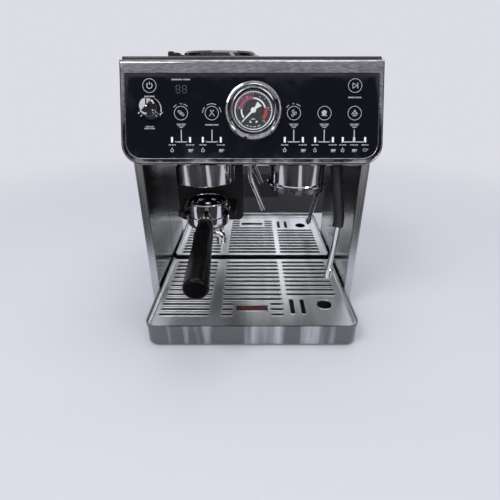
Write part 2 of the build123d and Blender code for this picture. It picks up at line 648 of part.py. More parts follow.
def steam_tube():
    """Steel wand: the ball, the bent tube and the nozzle with its four jets."""
    tube = pipe(WAND_PATH, WAND_BEND, WAND_R)
    end = Vector(*WAND_PATH[2])
    run = (end - Vector(*WAND_PATH[1])).normalized()
    nose = Plane(origin=end - run * 12, z_dir=run)
    tip = turned([(0, 0), (5.6, 0), (6.2, 2), (6.2, 12), (4.4, 16), (0, 17)])
    for angle in range(0, 360, 90):
        tip -= Rot(0, 0, angle) * Pos(3.2, 0, 16) * Rot(0, 40, 0) * Cylinder(0.6, 5)
    return tube + Pos(*WAND_PATH[0]) * Pos(0, 0, 3) * Sphere(BALL_R) + nose.location * tip


def steam_sleeve():
    """Rubber grip over the upper half of the wand, round its bend."""
    start, corner, end = [Vector(*point) for point in WAND_PATH]
    first = start + (corner - start).normalized() * 12
    last = corner + (end - corner).normalized() * 12
    sleeve = pipe([first, corner, last], WAND_BEND, SLEEVE_R, WAND_R)
    ends = [sleeve.faces().sort_by(Axis.Z)[i] for i in (0, -1)]
    rims = [max(face.edges(), key=lambda edge: edge.length) for face in ends]
    return fillet(rims, 1.6)


def hot_water_spout():
    """Bent tube that pours hot water, with the nut that fixes it under the head."""
    tube = pipe(SPOUT_PATH, 30, HOT_SPOUT_R, HOT_SPOUT_R - 1)
    x, y = SPOUT_PATH[0][0], SPOUT_PATH[0][1]
    nut = extrude(Plane.XY.offset(HEAD_Z - 7) * RegularPolygon(9, 6), 7)
    nut = Pos(x, y, 0) * nut - drum(x, y, 200, 300, HOT_SPOUT_R)
    return tube + nut


def tray_front():
    """Steel front of the drip tray: a band round three sides, stepped out under its rim."""
    def band(half, front, z0, z1, wall):
        depth = COLUMN_Y - 1.5 - front
        shape = Pos(0, front + depth / 2) * Rectangle(2 * half, depth)
        shape = fillet(shape.vertices().group_by(Axis.Y)[0], TRAY_CORNER)
        inner = Pos(0, front + wall + depth / 2) * Rectangle(2 * (half - wall), depth)
        inner = fillet(inner.vertices().group_by(Axis.Y)[0], TRAY_CORNER - wall)
        return extrude(Plane.XY.offset(z0) * (shape - inner), z1 - z0)
    skirt = band(TRAY_HALF - 0.8, TRAY_Y + 0.8, TRAY_LOW_Z, TRAY_STEP_Z, 1.2)
    return skirt + band(TRAY_HALF, TRAY_Y, TRAY_STEP_Z, TRAY_RIM_Z, 2.0)


def tray_pan():
    """Moulded pan of the drip tray, with the ribs that carry the drip plate."""
    half = TRAY_HALF - 2.0
    front = TRAY_Y + 2.0
    depth = PAN_BACK_Y - front
    shape = Pos(0, front + depth / 2) * Rectangle(2 * half, depth)
    shape = fillet(shape.vertices().group_by(Axis.Y)[0], TRAY_CORNER - 1)
    shape = fillet(shape.vertices().group_by(Axis.Y)[-1], 6)
    pan = extrude(Plane.XY.offset(PAN_FLOOR_Z) * shape, PLATE_Z - PAN_FLOOR_Z)
    pan -= extrude(Plane.XY.offset(PAN_FLOOR_Z + PAN_WALL) * offset(shape, -PAN_WALL), 40)
    for x in (-54, 54):
        pan += block(x - 1, x + 1, front + 1, PAN_BACK_Y - 1, PAN_FLOOR_Z + 1, PLATE_Z)
    return pan


def drip_slots():
    """Every opening in the drip plate, as one flat sketch."""
    back_rows = [FIRST_SLOT_Y + SLOT_PITCH * row for row in range(SLOT_ROWS)]
    cuts = Sketch()
    for row, y in enumerate(back_rows):
        spans = [(-134, -62)]
        spans += [(-45, -28), (28, 46)] if row < 3 else [(-46, 46)]
        spans += [(55, 131)] if row >= 4 else []
        for x0, x1 in spans:
            cuts += Pos((x0 + x1) / 2, y) * SlotOverall(x1 - x0, SLOT_W)
    for x in (60, 76):
        cuts += Pos(x, -88.5) * Rot(0, 0, 90) * SlotOverall(37, 6)
    cuts += Pos(0, WINDOW_Y) * Rectangle(*WINDOW)
    return cuts + Pos(FINGER_HOLE[0], FINGER_HOLE[1]) * Circle(FINGER_HOLE[2])


def drip_plate():
    """Slotted steel plate with a turned-up edge on three sides."""
    half = TRAY_HALF - 2.4
    front, back = TRAY_Y + 2.4, PAN_BACK_Y - 3
    depth = back - front
    shape = Pos(0, front + depth / 2) * Rectangle(2 * half, depth)
    shape = fillet(shape.vertices().group_by(Axis.Y)[0], TRAY_CORNER - 2.4)
    dish = Pos(0, front + PLATE_T + depth / 2 + 10) * Rectangle(2 * (half - PLATE_T), depth + 20)
    dish = fillet(dish.vertices().group_by(Axis.Y)[0], TRAY_CORNER - 4)
    plate = extrude(Plane.XY.offset(PLATE_Z) * shape, PLATE_T + PLATE_EDGE)
    hollow = extrude(Plane.XY.offset(PLATE_Z + PLATE_T) * dish, 20)
    hollow = fillet(hollow.faces().sort_by(Axis.Z)[0].edges(), 3.5)
    return plate - hollow - extrude(Plane.XY.offset(PLATE_Z - 1) * drip_slots(), 4)


def tray_float():
    """Red float that rises through the window of the drip plate when the tray is full."""
    low, top = PAN_FLOOR_Z + PAN_WALL + 0.1, PLATE_Z - 0.5
    float_box = block(-34, 34, WINDOW_Y - 15, WINDOW_Y + 15, low, low + 6)
    float_box = fillet(float_box.edges().filter_by(Axis.Z), 4)
    flag = block(-22.6, 22.6, WINDOW_Y - 5.4, WINDOW_Y + 5.4, low + 5, top)
    return float_box + fillet(flag.faces().sort_by(Axis.Z)[-1].edges(), 0.8)


def in_fork(piece):
    """Put a piece that is built round the bowl's axis at its rest in the cradle."""
    return Pos(OUTLET_X, 0, 0) * Rot(0, 0, HANDLE_TURN) * piece


def along_handle(piece):
    """Lay a piece that is turned about Z along the sloping axis of the handle."""
    return Pos(0, 0, HANDLE_HUB_Z) * Rot(90 + HANDLE_DROP, 0, 0) * piece


def portafilter_bowl():
    """Plated bowl: a full body, the narrower ring with two bayonet ears, and the handle's ferrule."""
    low = BOWL_Z
    side = Spline(
        (13, low), (24, low + 3.2), (31.2, low + 9), (BOWL_R, low + 17), tangents=[(1, 0), (0, 1)])
    rest = Polyline(
        (BOWL_R, low + 17), (BOWL_R, BOWL_TOP - 1), (BOWL_R - 1, BOWL_TOP), (RING_R, BOWL_TOP),
        (RING_R, RING_TOP - 0.8), (RING_R - 0.8, RING_TOP), (28.6, RING_TOP), (28.6, low + 14),
        (20, low + 7.5), (4, low + 6), (4, low), (13, low))
    bowl = revolve(Plane.XZ * make_face([side, rest]), Axis.Z)
    for sign in (-1, 1):
        ear = block(29.4, EAR_R, -EAR_W / 2, EAR_W / 2, *EAR_Z)
        ear = fillet(ear.edges().filter_by(Axis.Z).group_by(Axis.X)[-1], 3)
        bowl += ear if sign > 0 else mirror(ear, Plane.YZ)
    ferrule = turned([
        (0, 30.6), (9.5, 30.6), (8.2, 36), (8.2, 40.5), (10.6, 42.5), (10.6, HANDLE_FROM),
        (0, HANDLE_FROM)])
    return in_fork(bowl + along_handle(ferrule))


def filter_basket():
    """Pressed steel basket that hangs in the ring by its rim."""
    return turned([
        (0, BASKET_Z), (24, BASKET_Z), (BASKET_R - 1, BASKET_Z + 3), (BASKET_R, RING_TOP), (30.4, RING_TOP),
        (30.4, RING_TOP + 0.8), (BASKET_R - 0.8, RING_TOP + 0.8), (BASKET_R - 1.8, BASKET_Z + 3.4),
        (23.6, BASKET_Z + 0.8), (0, BASKET_Z + 0.8)], OUTLET_X)


def portafilter_spout():
    """Twin spout screwed under the bowl: a hub and two arms that bend down."""
    elbow = [(0, 0, BOWL_Z - 8), (SPOUT_HALF, 0, BOWL_Z - 10)]
    arm = pipe(elbow + [(SPOUT_HALF, 0, SPOUT_Z)], 9, SPOUT_R)
    bore = pipe(elbow + [(SPOUT_HALF, 0, SPOUT_Z - 1)], 9, SPOUT_R - 2.4)
    spout = drum(0, 0, BOWL_Z - 14, BOWL_Z, 10) + arm + mirror(arm, Plane.YZ)
    return in_fork(spout - bore - mirror(bore, Plane.YZ) - drum(0, 0, BOWL_Z - 9, BOWL_Z + 1, 4))


def portafilter_handle():
    """Moulded handle: slim at the ferrule, full towards a flat butt with a rounded edge."""
    butt = HANDLE_TO
    side = Spline((11.4, HANDLE_FROM), (12.7, 66), (13.9, 120), (15.2, 165), (15.6, butt - 5))
    edge = ThreePointArc((15.6, butt - 5), (14.3, butt - 1.4), (11, butt))
    rest = Polyline((11, butt), (0, butt), (0, HANDLE_FROM), (11.4, HANDLE_FROM))
    return in_fork(along_handle(revolve(Plane.XZ * make_face([side, edge, rest]), Axis.Z)))


def water_tank():
    """Clear tank behind the body, open above, with the lugs of the lid's pins."""
    width, depth = TANK_X[1] - TANK_X[0], TANK_Y[1] - TANK_Y[0]
    x, y = (TANK_X[0] + TANK_X[1]) / 2, (TANK_Y[0] + TANK_Y[1]) / 2
    outline = RectangleRounded(width, depth, TANK_CORNER)
    tank = extrude(Plane.XY.offset(TANK_Z[0]) * outline, TANK_Z[1] - TANK_Z[0])
    inside = RectangleRounded(width - 2 * TANK_WALL, depth - 2 * TANK_WALL, TANK_CORNER - TANK_WALL)
    tank -= extrude(Plane.XY.offset(TANK_Z[0] + 3) * inside, TANK_Z[1])
    tank = Pos(x, y, 0) * tank
    pin_y, pin_z = TANK_Y[1] - 5, TANK_Z[1] + 4
    for edge in (TANK_X[0] + 22, TANK_X[1] - 28):
        eye = Pos(edge + 3, pin_y, pin_z) * Rot(0, 90, 0)
        tank += block(edge, edge + 6, pin_y - 3.3, TANK_Y[1] - 0.6, TANK_Z[1] - 6, pin_z)
        tank += eye * Cylinder(3.3, 6)
        tank -= eye * Cylinder(LID_PIN_R + 0.05, 20)
    return tank


def tank_lid():
    """Black lid of the tank, hinged on two pins along the back edge, with a finger lip in front."""
    width = TANK_X[1] - TANK_X[0]
    x = (TANK_X[0] + TANK_X[1]) / 2
    front, back = TANK_Y[0], TANK_Y[1] - 10
    low, high = TANK_Z[1] + 0.1, TANK_Z[1] + 8
    lid = block(TANK_X[0] + 2, TANK_X[1] - 2, front, back, low, high)
    lid = fillet(lid.faces().sort_by(Axis.Z)[-1].edges(), 2)
    lid -= block(TANK_X[0] + 6, TANK_X[1] - 6, front + 4, back - 3, low - 1, high - 2.5)
    pin_y, pin_z = TANK_Y[1] - 5, TANK_Z[1] + 4
    inner = (TANK_X[0] + 28.4, TANK_X[1] - 28.4)
    barrel = Pos(x, pin_y, pin_z) * Rot(0, 90, 0) * Cylinder(3, inner[1] - inner[0])
    pins = Pos(x, pin_y, pin_z) * Rot(0, 90, 0) * Cylinder(LID_PIN_R, width - 46)
    return lid + barrel + pins + block(inner[0], inner[1], back - 2, pin_y, pin_z - 1.5, pin_z + 1.5)


PARTS = {
    "base_pan": base_pan,
    "rubber_feet": rubber_feet,
    "side_panel_left": lambda: side_panel(-1),
    "side_panel_right": lambda: side_panel(1),
    "niche_wall_left": lambda: niche_wall(-1),
    "niche_wall_right": lambda: niche_wall(1),
    "splash_panel": splash_panel,
    "rear_cover": rear_cover,
    "cord_gland": cord_gland,
    "head_floor": head_floor,
    "top_deck": top_deck,
    "panel_frame": panel_frame,
    "panel_glass": panel_glass,
    "panel_carrier": panel_carrier,
    "control_board": control_board,
    "gauge_case": gauge_case,
    "gauge_dial": gauge_dial,
    "gauge_lens": gauge_lens,
    "gauge_movement": gauge_movement,
    "gauge_needle": gauge_needle,
    "dose_knob": dose_knob,
    "grinder_shroud": grinder_shroud,
    "grounds_chute": grounds_chute,
    "cradle": cradle,
    "grind_trigger": grind_trigger,
    "grinder_motor": grinder_motor,
    "burr_chamber": burr_chamber,
    "cone_burr": cone_burr,
    "ring_burr": ring_burr,
    "grind_collar": grind_collar,
    "hopper": hopper,
    "hopper_lid": hopper_lid,
    "group_shroud": group_shroud,
    "group_head": group_head,
    "group_gasket": group_gasket,
    "shower_screen": shower_screen,
    "boiler": boiler,
    "pump": pump,
    "water_lines": water_lines,
    "steam_socket": steam_socket,
    "steam_tube": steam_tube,
    "steam_sleeve": steam_sleeve,
    "hot_water_spout": hot_water_spout,
    "tray_front": tray_front,
    "tray_pan": tray_pan,
    "drip_plate": drip_plate,
    "tray_float": tray_float,
    "portafilter_bowl": portafilter_bowl,
    "filter_basket": filter_basket,
    "portafilter_spout": portafilter_spout,
    "portafilter_handle": portafilter_handle,
    "water_tank": water_tank,
    "tank_lid": tank_lid,
}
PARTS.update({name: (lambda at=at: push_key(at)) for name, at in KEYS.items()})


def main():
    """Write every piece to its own file."""
    os.makedirs("parts", exist_ok=True)
    for name, make in PARTS.items():
        export_step(make(), f"parts/{name}.step")


main()
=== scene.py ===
"""Espresso machine: finishes for every solid, the printed control panel, small hardware and the studio."""

import json
from math import cos, pi, radians, sin

import bmesh
import bpy
from bpy.props import FloatProperty, FloatVectorProperty, PointerProperty
from mathutils import Matrix, Vector


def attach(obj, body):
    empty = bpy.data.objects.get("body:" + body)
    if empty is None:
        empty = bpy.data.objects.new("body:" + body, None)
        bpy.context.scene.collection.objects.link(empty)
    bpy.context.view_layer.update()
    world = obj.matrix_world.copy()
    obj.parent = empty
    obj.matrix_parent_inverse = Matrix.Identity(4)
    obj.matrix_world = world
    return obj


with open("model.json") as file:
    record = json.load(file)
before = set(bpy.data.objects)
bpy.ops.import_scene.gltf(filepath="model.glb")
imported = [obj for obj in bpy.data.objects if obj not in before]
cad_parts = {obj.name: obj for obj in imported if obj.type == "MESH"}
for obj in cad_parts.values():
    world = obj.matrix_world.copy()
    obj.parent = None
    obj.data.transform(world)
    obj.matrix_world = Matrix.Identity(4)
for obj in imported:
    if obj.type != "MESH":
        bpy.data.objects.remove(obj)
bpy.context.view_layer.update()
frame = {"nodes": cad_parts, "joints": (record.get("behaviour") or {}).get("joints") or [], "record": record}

bl_info = {
    "name": "Espresso Machine",
    "version": (1, 0, 0),
    "blender": (4, 5, 0),
    "location": "3D View > Sidebar > Espresso",
    "description": "Dresses the solids of an espresso machine and builds its studio",
    "category": "Object",
}

MM = 0.001
NODES = frame["nodes"]
JOINTS = {joint["name"]: joint for joint in frame["joints"]}
SLOT_OF_NODE = {part["node"]: part["material_slot"] for part in frame["record"]["subparts"]}

# The control panel's own axes: x to the right, y up its slope, z out of its face
PANEL_AT = Vector((0.0, -0.0665, 0.297))
PANEL_OUT = -Vector(JOINTS["gauge_needle_swing"]["axis"]).normalized()
PANEL_UP = PANEL_OUT.cross(Vector((1, 0, 0)))
GLASS_FACE = -0.8
KEY_FACE = -0.5
DISPLAY_X = (-89.4, -81.6)
DISPLAY_Y = 28.9

# Print: its thickness, that of the dial's sectors, how many thicknesses it is lifted, and a fine line's width
PRINT_T = 0.06
SECTOR_T = 0.03
PRINT_LIFT = 0.8
FINE_LINE = 0.7

# Cup rest on the deck and the ribbed mat in it
CUP_REST_AT = (78.0, 66.0)
CUP_REST_SIZE = (112.0, 104.0)
CUP_REST_DEPTH = 0.6
CUP_MAT_GAP = 1.5
CUP_MAT_T = 0.7
CUP_MAT_CORNER = 8.0
RIB_PITCH = 5.0
RIB_INSET = 6.0
RIB_W = 2.2
RIB_H = 1.0
RIB_MIDDLE = 1.0
RIB_ROUND = 0.35

# Screws of the rear cover
SCREW_INSET = 4.2
SCREW_HIGH = 1.4
SCREW_LEVELS = (0.06, 0.36, 0.66, 0.96)
SCREW_CROSS = 1.2

# Filter basket: its sheet, its rolled rim and the holes in its floor, laid as black discs of painted shade,
# with the step of their rows in pitches
BASKET_SHEET = 0.8
BASKET_RIM_R = 0.9
HOLE_PITCH = 2.6
HOLE_ROW = 0.866
HOLE_REACH = 21.0
HOLE_R = 0.42

# Level scale of the tank
TANK_SCALE_INSET = 26.0
TANK_SCALE_FROM = 30.0
TANK_STEP = 62.0
TANK_STEPS = 4

# Bead round the control glass: the opening in its frame, on the panel's own axes
OPENING_HALF = 154.3
OPENING_TOP = 47.7
OPENING_LOW = -54.4
OPENING_CORNER = 19.0
BEAD_R = 0.7

# Rolled lip round the openings of the drip plate: outward and upward steps of its section
LIP_SECTION = ((0.3, 0.4), (0.8, 0.55), (1.3, 0.4), (1.6, -0.3), (0.0, -0.3), (0.0, 0.0))
LONGEST_OPENING = 150.0

KEY_PLACES = {
    "power_key": (-123.8, 33.0),
    "start_key": (124.4, 33.0),
    "basket_size_key": (-86.2, 0.6),
    "program_key": (-48.8, 0.6),
    "one_cup_key": (50.9, 0.6),
    "two_cup_key": (88.0, 0.6),
    "steam_key": (124.6, 0.6),
}
LAMP_ROW_Y = -31.0
LAMP_GROUPS = {
    "basket_size_key": (-97.6, -75.6),
    "program_key": (-60.0, -38.1),
    "one_cup_key": (40.0, 62.1),
    "two_cup_key": (77.0, 98.7),
    "steam_key": (110.8, 124.6, 138.1),
}

# Studio, in metres: the floor against the backdrop and where it fades into it, the even light and the camera
NEAR_FLOOR = 1.03
FLOOR_SIZE = (9.0, 9.0)
FLOOR_DROP = 0.0005
FLOOR_FADE = (0.35, 1.3)
WORLD_COLOR = (0.9, 0.92, 1.0, 1.0)
WORLD_STRENGTH = 0.5
SENSOR_W = 36.0
SHIFT_X = -0.004
# Dark cards, standing (middle, what they face, size) and lying on the floor (middle, size)
STANDING_FLAGS = {
    "front_flag": ((0.0, -1.5, 1.44), (0.0, 0.0, 1.44), (1.56, 0.64)),
    "side_flag_left": ((-0.95, 0.0, 0.5), (0.0, 0.0, 0.3), (0.9, 0.9)),
    "side_flag_right": ((0.95, 0.0, 0.5), (0.0, 0.0, 0.3), (0.9, 0.9)),
}
FLOOR_FLAGS = {
    "floor_flag_left": ((-0.62, -1.08, 0.002), (1.4, 1.44)),
    "floor_flag_right": ((0.775, -1.08, 0.002), (1.05, 1.44)),
    "floor_flag_near": ((0.0, -0.425, 0.002), (0.9, 0.39)),
}
# Lamps: place, target, size and power in watts
LAMPS = {
    "key_lamp": ((-0.75, -0.75, 1.75), (0.0, 0.0, 0.2), (0.7, 0.7), 10.0),
    "fill_lamp": ((1.0, -1.2, 0.55), (0.0, -0.05, 0.15), (0.35, 0.35), 2.6),
    "top_lamp": ((0.15, 0.25, 1.7), (0.0, 0.0, 0.2), (1.0, 1.0), 7.5),
    "front_strip": ((0.0, -1.45, 0.92), (0.0, 0.0, 0.25), (1.3, 0.3), 3.0),
}


def color_prop(name, description, default):
    """Colour setting of a property group."""
    return FloatVectorProperty(
        name=name, description=description, default=default, subtype="COLOR", size=3, min=0.0, max=1.0)


class MachineFinishes(bpy.types.PropertyGroup):
    """Colours of the machine's surfaces."""
    steel: color_prop("Steel", "Polished and brushed stainless steel", (0.60, 0.61, 0.62))
    chrome: color_prop("Chrome", "Bright plated trim", (0.74, 0.74, 0.76))
    glass: color_prop("Glass", "Back-printed control glass", (0.006, 0.007, 0.011))
    black: color_prop("Black", "Black mouldings", (0.010, 0.010, 0.011))
    rubber: color_prop("Rubber", "Grip and feet", (0.020, 0.020, 0.022))
    printed: color_prop("Print", "White print on the panel and the dial", (0.80, 0.81, 0.83))
    signal: color_prop("Signal red", "Red sector of the dial and the float", (0.42, 0.035, 0.04))
    sector: color_prop("Sector", "Wide low-pressure sector of the dial", (0.27, 0.075, 0.11))


class PanelPrint(bpy.types.PropertyGroup):
    """Line widths of the print on the control panel, in millimetres."""
    ring_radius: FloatProperty(
        name="Ring radius", description="Middle of the ring printed on a key", default=8.1, min=4, max=8.5)
    ring_width: FloatProperty(
        name="Ring width", description="Width of that ring", default=0.62, min=0.2, max=2)
    line_width: FloatProperty(
        name="Line width", description="Lines of the symbols and brackets", default=0.7, min=0.2, max=2)


class Studio(bpy.types.PropertyGroup):
    """Floor, light and camera."""
    floor: color_prop("Floor", "Pale floor and backdrop", (0.72, 0.72, 0.78))
    lens: FloatProperty(
        name="Lens", description="Focal length", default=25.7, min=10, max=200, unit="CAMERA")
    camera_y: FloatProperty(
        name="Camera distance", description="Camera in front of the machine's middle", default=-0.527,
        unit="LENGTH")
    camera_z: FloatProperty(
        name="Camera height", description="Camera above the table", default=0.346, unit="LENGTH")
    pitch: FloatProperty(
        name="Pitch", description="Tilt below the horizon", default=radians(27.0), subtype="ANGLE")


def settings():
    """The scene's property groups as one place to read sizes and colours from."""
    scene = bpy.context.scene
    return scene.espresso_finishes, scene.espresso_print, scene.espresso_studio


def node(tree, kind, inputs=None, **options):
    """Outputs of a new node with its options set, and with values or links on its inputs."""
    made = tree.nodes.new(kind)
    for name, value in options.items():
        setattr(made, name, value)
    for socket, value in (inputs or {}).items():
        if isinstance(value, bpy.types.NodeSocket):
            tree.links.new(value, made.inputs[socket])
        else:
            made.inputs[socket].default_value = value
    return made.outputs


def node_group(name, inputs, outputs):
    """Empty shader node group with named sockets, and the outputs of its start node."""
    group = bpy.data.node_groups.new(name, "ShaderNodeTree")
    for label, default in inputs.items():
        kind = "NodeSocketVector" if isinstance(default, tuple) else "NodeSocketFloat"
        group.interface.new_socket(name=label, in_out="INPUT", socket_type=kind).default_value = default
    for label in outputs:
        group.interface.new_socket(name=label, in_out="OUTPUT", socket_type="NodeSocketFloat")
    return group, node(group, "NodeGroupInput")


def line_noise_group():
    """Fine lines along one direction: a noise stretched by a factor for each axis."""
    group, start = node_group(
        "line_noise", {"Stretch": (8.0, 900.0, 900.0), "Low": 0.2, "High": 0.4}, ("Lines", "Span"))
    place = node(group, "ShaderNodeTexCoord")["Object"]
    stretched = node(group, "ShaderNodeVectorMath", {0: place, 1: start["Stretch"]}, operation="MULTIPLY")
    noise = node(group, "ShaderNodeTexNoise", {"Scale": 1.0, "Detail": 3.0, "Vector": stretched["Vector"]})
    span = node(group, "ShaderNodeMapRange", {
        "Value": noise["Fac"], "From Min": 0.25, "From Max": 0.75,
        "To Min": start["Low"], "To Max": start["High"]})
    node(group, "NodeGroupOutput", {"Lines": noise["Fac"], "Span": span["Result"]})
    return group


def handling_marks_group():
    """Soft cloudy marks that raise the roughness a little where a surface is touched and wiped."""
    group, start = node_group(
        "handling_marks", {"Size": 14.0, "Clean": 0.05, "Marked": 0.15}, ("Roughness", "Mask"))
    place = node(group, "ShaderNodeTexCoord")["Object"]
    cloud = node(group, "ShaderNodeTexNoise", {
        "Vector": place, "Scale": start["Size"], "Detail": 5.0, "Roughness": 0.62})
    mask = node(group, "ShaderNodeMapRange", {
        "Value": cloud["Fac"], "From Min": 0.42, "From Max": 0.68}, interpolation_type="SMOOTHSTEP")
    span = node(group, "ShaderNodeMapRange", {
        "Value": mask["Result"], "To Min": start["Clean"], "To Max": start["Marked"]})
    node(group, "NodeGroupOutput", {"Roughness": span["Result"], "Mask": mask["Result"]})
    return group


def moulded_grain_group():
    """Fine pebbled grain of moulded plastic and rubber, as a height."""
    group, start = node_group("moulded_grain", {"Scale": 1400.0}, ("Height",))
    place = node(group, "ShaderNodeTexCoord")["Object"]
    cells = node(
        group, "ShaderNodeTexVoronoi", {"Vector": place, "Scale": start["Scale"]}, feature="SMOOTH_F1")
    node(group, "NodeGroupOutput", {"Height": cells["Distance"]})
    return group


def shared_group(name):
    """The shader node group of that name, built on first use."""
    makers = {
        "line_noise": line_noise_group,
        "handling_marks": handling_marks_group,
        "moulded_grain": moulded_grain_group,
    }
    return bpy.data.node_groups.get(name) or makers[name]()


class Finish:
    """A material under construction: its tree, its Principled shader and short ways to add to it."""

    def __init__(self, name, color, roughness, metallic=0.0):
        self.material = bpy.data.materials.new(name)
        self.material.use_nodes = True
        self.tree = self.material.node_tree
        self.shader = self.tree.nodes["Principled BSDF"]
        self.set("Base Color", (*color, 1.0))
        self.set("Roughness", roughness)
        self.set("Metallic", metallic)

    def set(self, socket, value):
        """Constant on one of the shader's sockets."""
        self.shader.inputs[socket].default_value = value

    def effect(self, group, **values):
        """Outputs of a shared effect with its own values."""
        return node(self.tree, "ShaderNodeGroup", values, node_tree=shared_group(group))

    def join(self, output, socket):
        """Link into the shader."""
        self.tree.links.new(output, self.shader.inputs[socket])

    def shade(self, mask, color, without, within):
        """Base colour that is scaled by one factor without a mask and by another within it."""
        ends = {"A": (*times(color, without), 1.0), "B": (*times(color, within), 1.0)}
        mix = node(self.tree, "ShaderNodeMix", {**ends, "Factor": mask}, data_type="RGBA")
        self.join(mix["Result"], "Base Color")

    def bump(self, height, strength, distance):
        """Surface relief from a height."""
        relief = {"Strength": strength, "Distance": distance, "Height": height}
        self.join(node(self.tree, "ShaderNodeBump", relief)["Normal"], "Normal")

    def marked(self, size, clean, marked):
        """Roughness that changes in handling marks. Gives the mask of the marks."""
        marks = self.effect("handling_marks", Size=size, Clean=clean, Marked=marked)
        self.join(marks["Roughness"], "Roughness")
        return marks["Mask"]

    def lines(self, stretch, low=0.0, high=1.0):
        """Lines along one direction, bare and between two values: brushing, and in some finishes the painted
        light and shade stripes.
        """
        return self.effect("line_noise", Stretch=stretch, Low=low, High=high)

    def brushed(self, stretch, low, high):
        """Roughness that follows brushed lines. Gives the bare lines."""
        lines = self.lines(stretch, low, high)
        self.join(lines["Span"], "Roughness")
        return lines["Lines"]

    def grained(self, scale, strength, distance):
        """Relief of a moulded grain."""
        self.bump(self.effect("moulded_grain", Scale=scale)["Height"], strength, distance)


def times(color, factor):
    """Colour scaled by a factor."""
    return tuple(channel * factor for channel in color)


def polished_steel(looks):
    """Silky steel of the side panels, finely brushed upright, with wiped marks."""
    finish = Finish("polished_steel", looks.steel, 0.28, 1.0)
    lines = finish.brushed((1100.0, 1100.0, 9.0), 0.22, 0.36)
    marks = finish.effect("handling_marks", Size=11.0)
    finish.shade(marks["Mask"], looks.steel, 1.04, 0.94)
    finish.bump(lines, 0.06, 0.0004)
    return finish.material


def bay_steel_painted_shade(looks):
    """Satin steel of the cup bay's walls, with wiped marks; its colour is darkened below the steel's own as
    painted shade of the recess.
    """
    # Painted shade: the steel's colour is taken down to 0.6 for the shaded walls of the recess.
    finish = Finish("bay_steel_painted_shade", times(looks.steel, 0.6), 0.28, 1.0)
    finish.shade(finish.marked(9.0, 0.2, 0.32), looks.steel, 0.64, 0.54)
    finish.bump(finish.lines((900.0, 900.0, 7.0))["Lines"], 0.04, 0.0004)
    return finish.material


def mirror_steel(looks):
    """Clean mirror of the splash panel, with a few faint wiped marks."""
    finish = Finish("mirror_steel", times(looks.steel, 1.15), 0.03, 1.0)
    finish.shade(finish.marked(7.0, 0.012, 0.06), looks.steel, 1.2, 1.08)
    return finish.material


def brushed_steel(looks):
    """Steel brushed from side to side."""
    finish = Finish("brushed_steel", looks.steel, 0.3, 1.0)
    lines = finish.brushed((7.0, 1500.0, 1500.0), 0.20, 0.36)
    finish.shade(lines, looks.steel, 0.78, 1.05)
    finish.bump(lines, 0.12, 0.0004)
    return finish.material


def plate_steel_painted_light(looks):
    """Silkier steel of the drip plate, its colour painted brighter as painted light, with faint painted
    highlight stripes from front to back.
    """
    # Painted light: the plate's colour is raised above the steel's own, and lighter stripes from front to
    # back, 1.02 to 1.36 of the steel, are painted highlights.
    finish = Finish("plate_steel_painted_light", times(looks.steel, 1.5), 0.34, 1.0)
    lines = finish.brushed((9.0, 1500.0, 1500.0), 0.26, 0.42)
    painted_streaks = finish.lines((30.0, 2.0, 3.0), -1.0, 1.4)
    finish.shade(painted_streaks["Span"], looks.steel, 1.02, 1.36)
    finish.bump(lines, 0.08, 0.0003)
    return finish.material


def tray_steel_painted_reflections(looks):
    """Steel of the tray's front, darkened as a painted dark reflection, with broad upright painted reflection
    stripes over its brushing.
    """
    # Painted reflection: the colour is taken down to 0.6 of the steel's, and upright stripes between 0.32 and
    # 1.1 of it stand in for reflections.
    finish = Finish("tray_steel_painted_reflections", times(looks.steel, 0.6), 0.28, 1.0)
    lines = finish.brushed((7.0, 1500.0, 1500.0), 0.18, 0.34)
    painted_streaks = finish.lines((38.0, 3.0, 3.0), -1.3, 1.2)
    finish.shade(painted_streaks["Span"], looks.steel, 0.32, 1.1)
    finish.bump(lines, 0.1, 0.0003)
    return finish.material


def frame_chrome_painted_shade(looks):
    """Plating of the panel's frame, darkened below the other bright trim as painted shade, with lighter and
    darker fine bands as painted reflections.
    """
    # Painted shade and reflections: the chrome's colour is taken down to 0.4, then varied between 0.18 and
    # 0.5 of it in fine bands.
    finish = Finish("frame_chrome_painted_shade", times(looks.chrome, 0.4), 0.06, 1.0)
    finish.marked(34.0, 0.04, 0.13)
    finish.shade(finish.lines((120.0, 160.0, 700.0))["Span"], looks.chrome, 0.18, 0.5)
    return finish.material


def shroud_chrome_painted_bands(looks):
    """Plating of the two round shrouds, drawn upright, so its reflections have soft edges; upright bands of
    lighter and darker colour are painted reflections.
    """
    finish = Finish("shroud_chrome_painted_bands", looks.chrome, 0.1, 1.0)
    # Painted reflections: the colour follows the upright lines from 0.7 to 1.25 of the chrome's.
    finish.shade(finish.brushed((160.0, 160.0, 4.0), 0.05, 0.2), looks.chrome, 0.7, 1.25)
    return finish.material


def bezel_chrome(looks):
    """Plating of the gauge's bezel, turned and slightly hazy."""
    finish = Finish("bezel_chrome", times(looks.chrome, 0.5), 0.1, 1.0)
    finish.marked(60.0, 0.06, 0.2)
    finish.shade(finish.lines((210.0, 260.0, 210.0))["Span"], looks.chrome, 0.34, 0.78)
    return finish.material


def satin_black(looks):
    """Black moulding with a fine grain."""
    finish = Finish("satin_black", times(looks.black, 1.2), 0.42)
    finish.set("Specular IOR Level", 0.3)
    finish.marked(16.0, 0.36, 0.52)
    finish.grained(1300.0, 0.25, 0.0003)
    return finish.material


def black_rubber(looks):
    """Matte rubber with a powdery grain."""
    finish = Finish("black_rubber", looks.rubber, 0.62)
    finish.shade(finish.marked(30.0, 0.52, 0.70), looks.rubber, 1.0, 1.7)
    finish.grained(2200.0, 0.2, 0.0002)
    return finish.material


def wiped(name, color, roughness, metallic, marks, **values):
    """Even surface with handling marks: their size, and the roughness outside and inside them."""
    finish = Finish(name, color, roughness, metallic)
    finish.marked(*marks)
    for socket, value in values.items():
        finish.set(socket.replace("_", " "), value)
    return finish.material


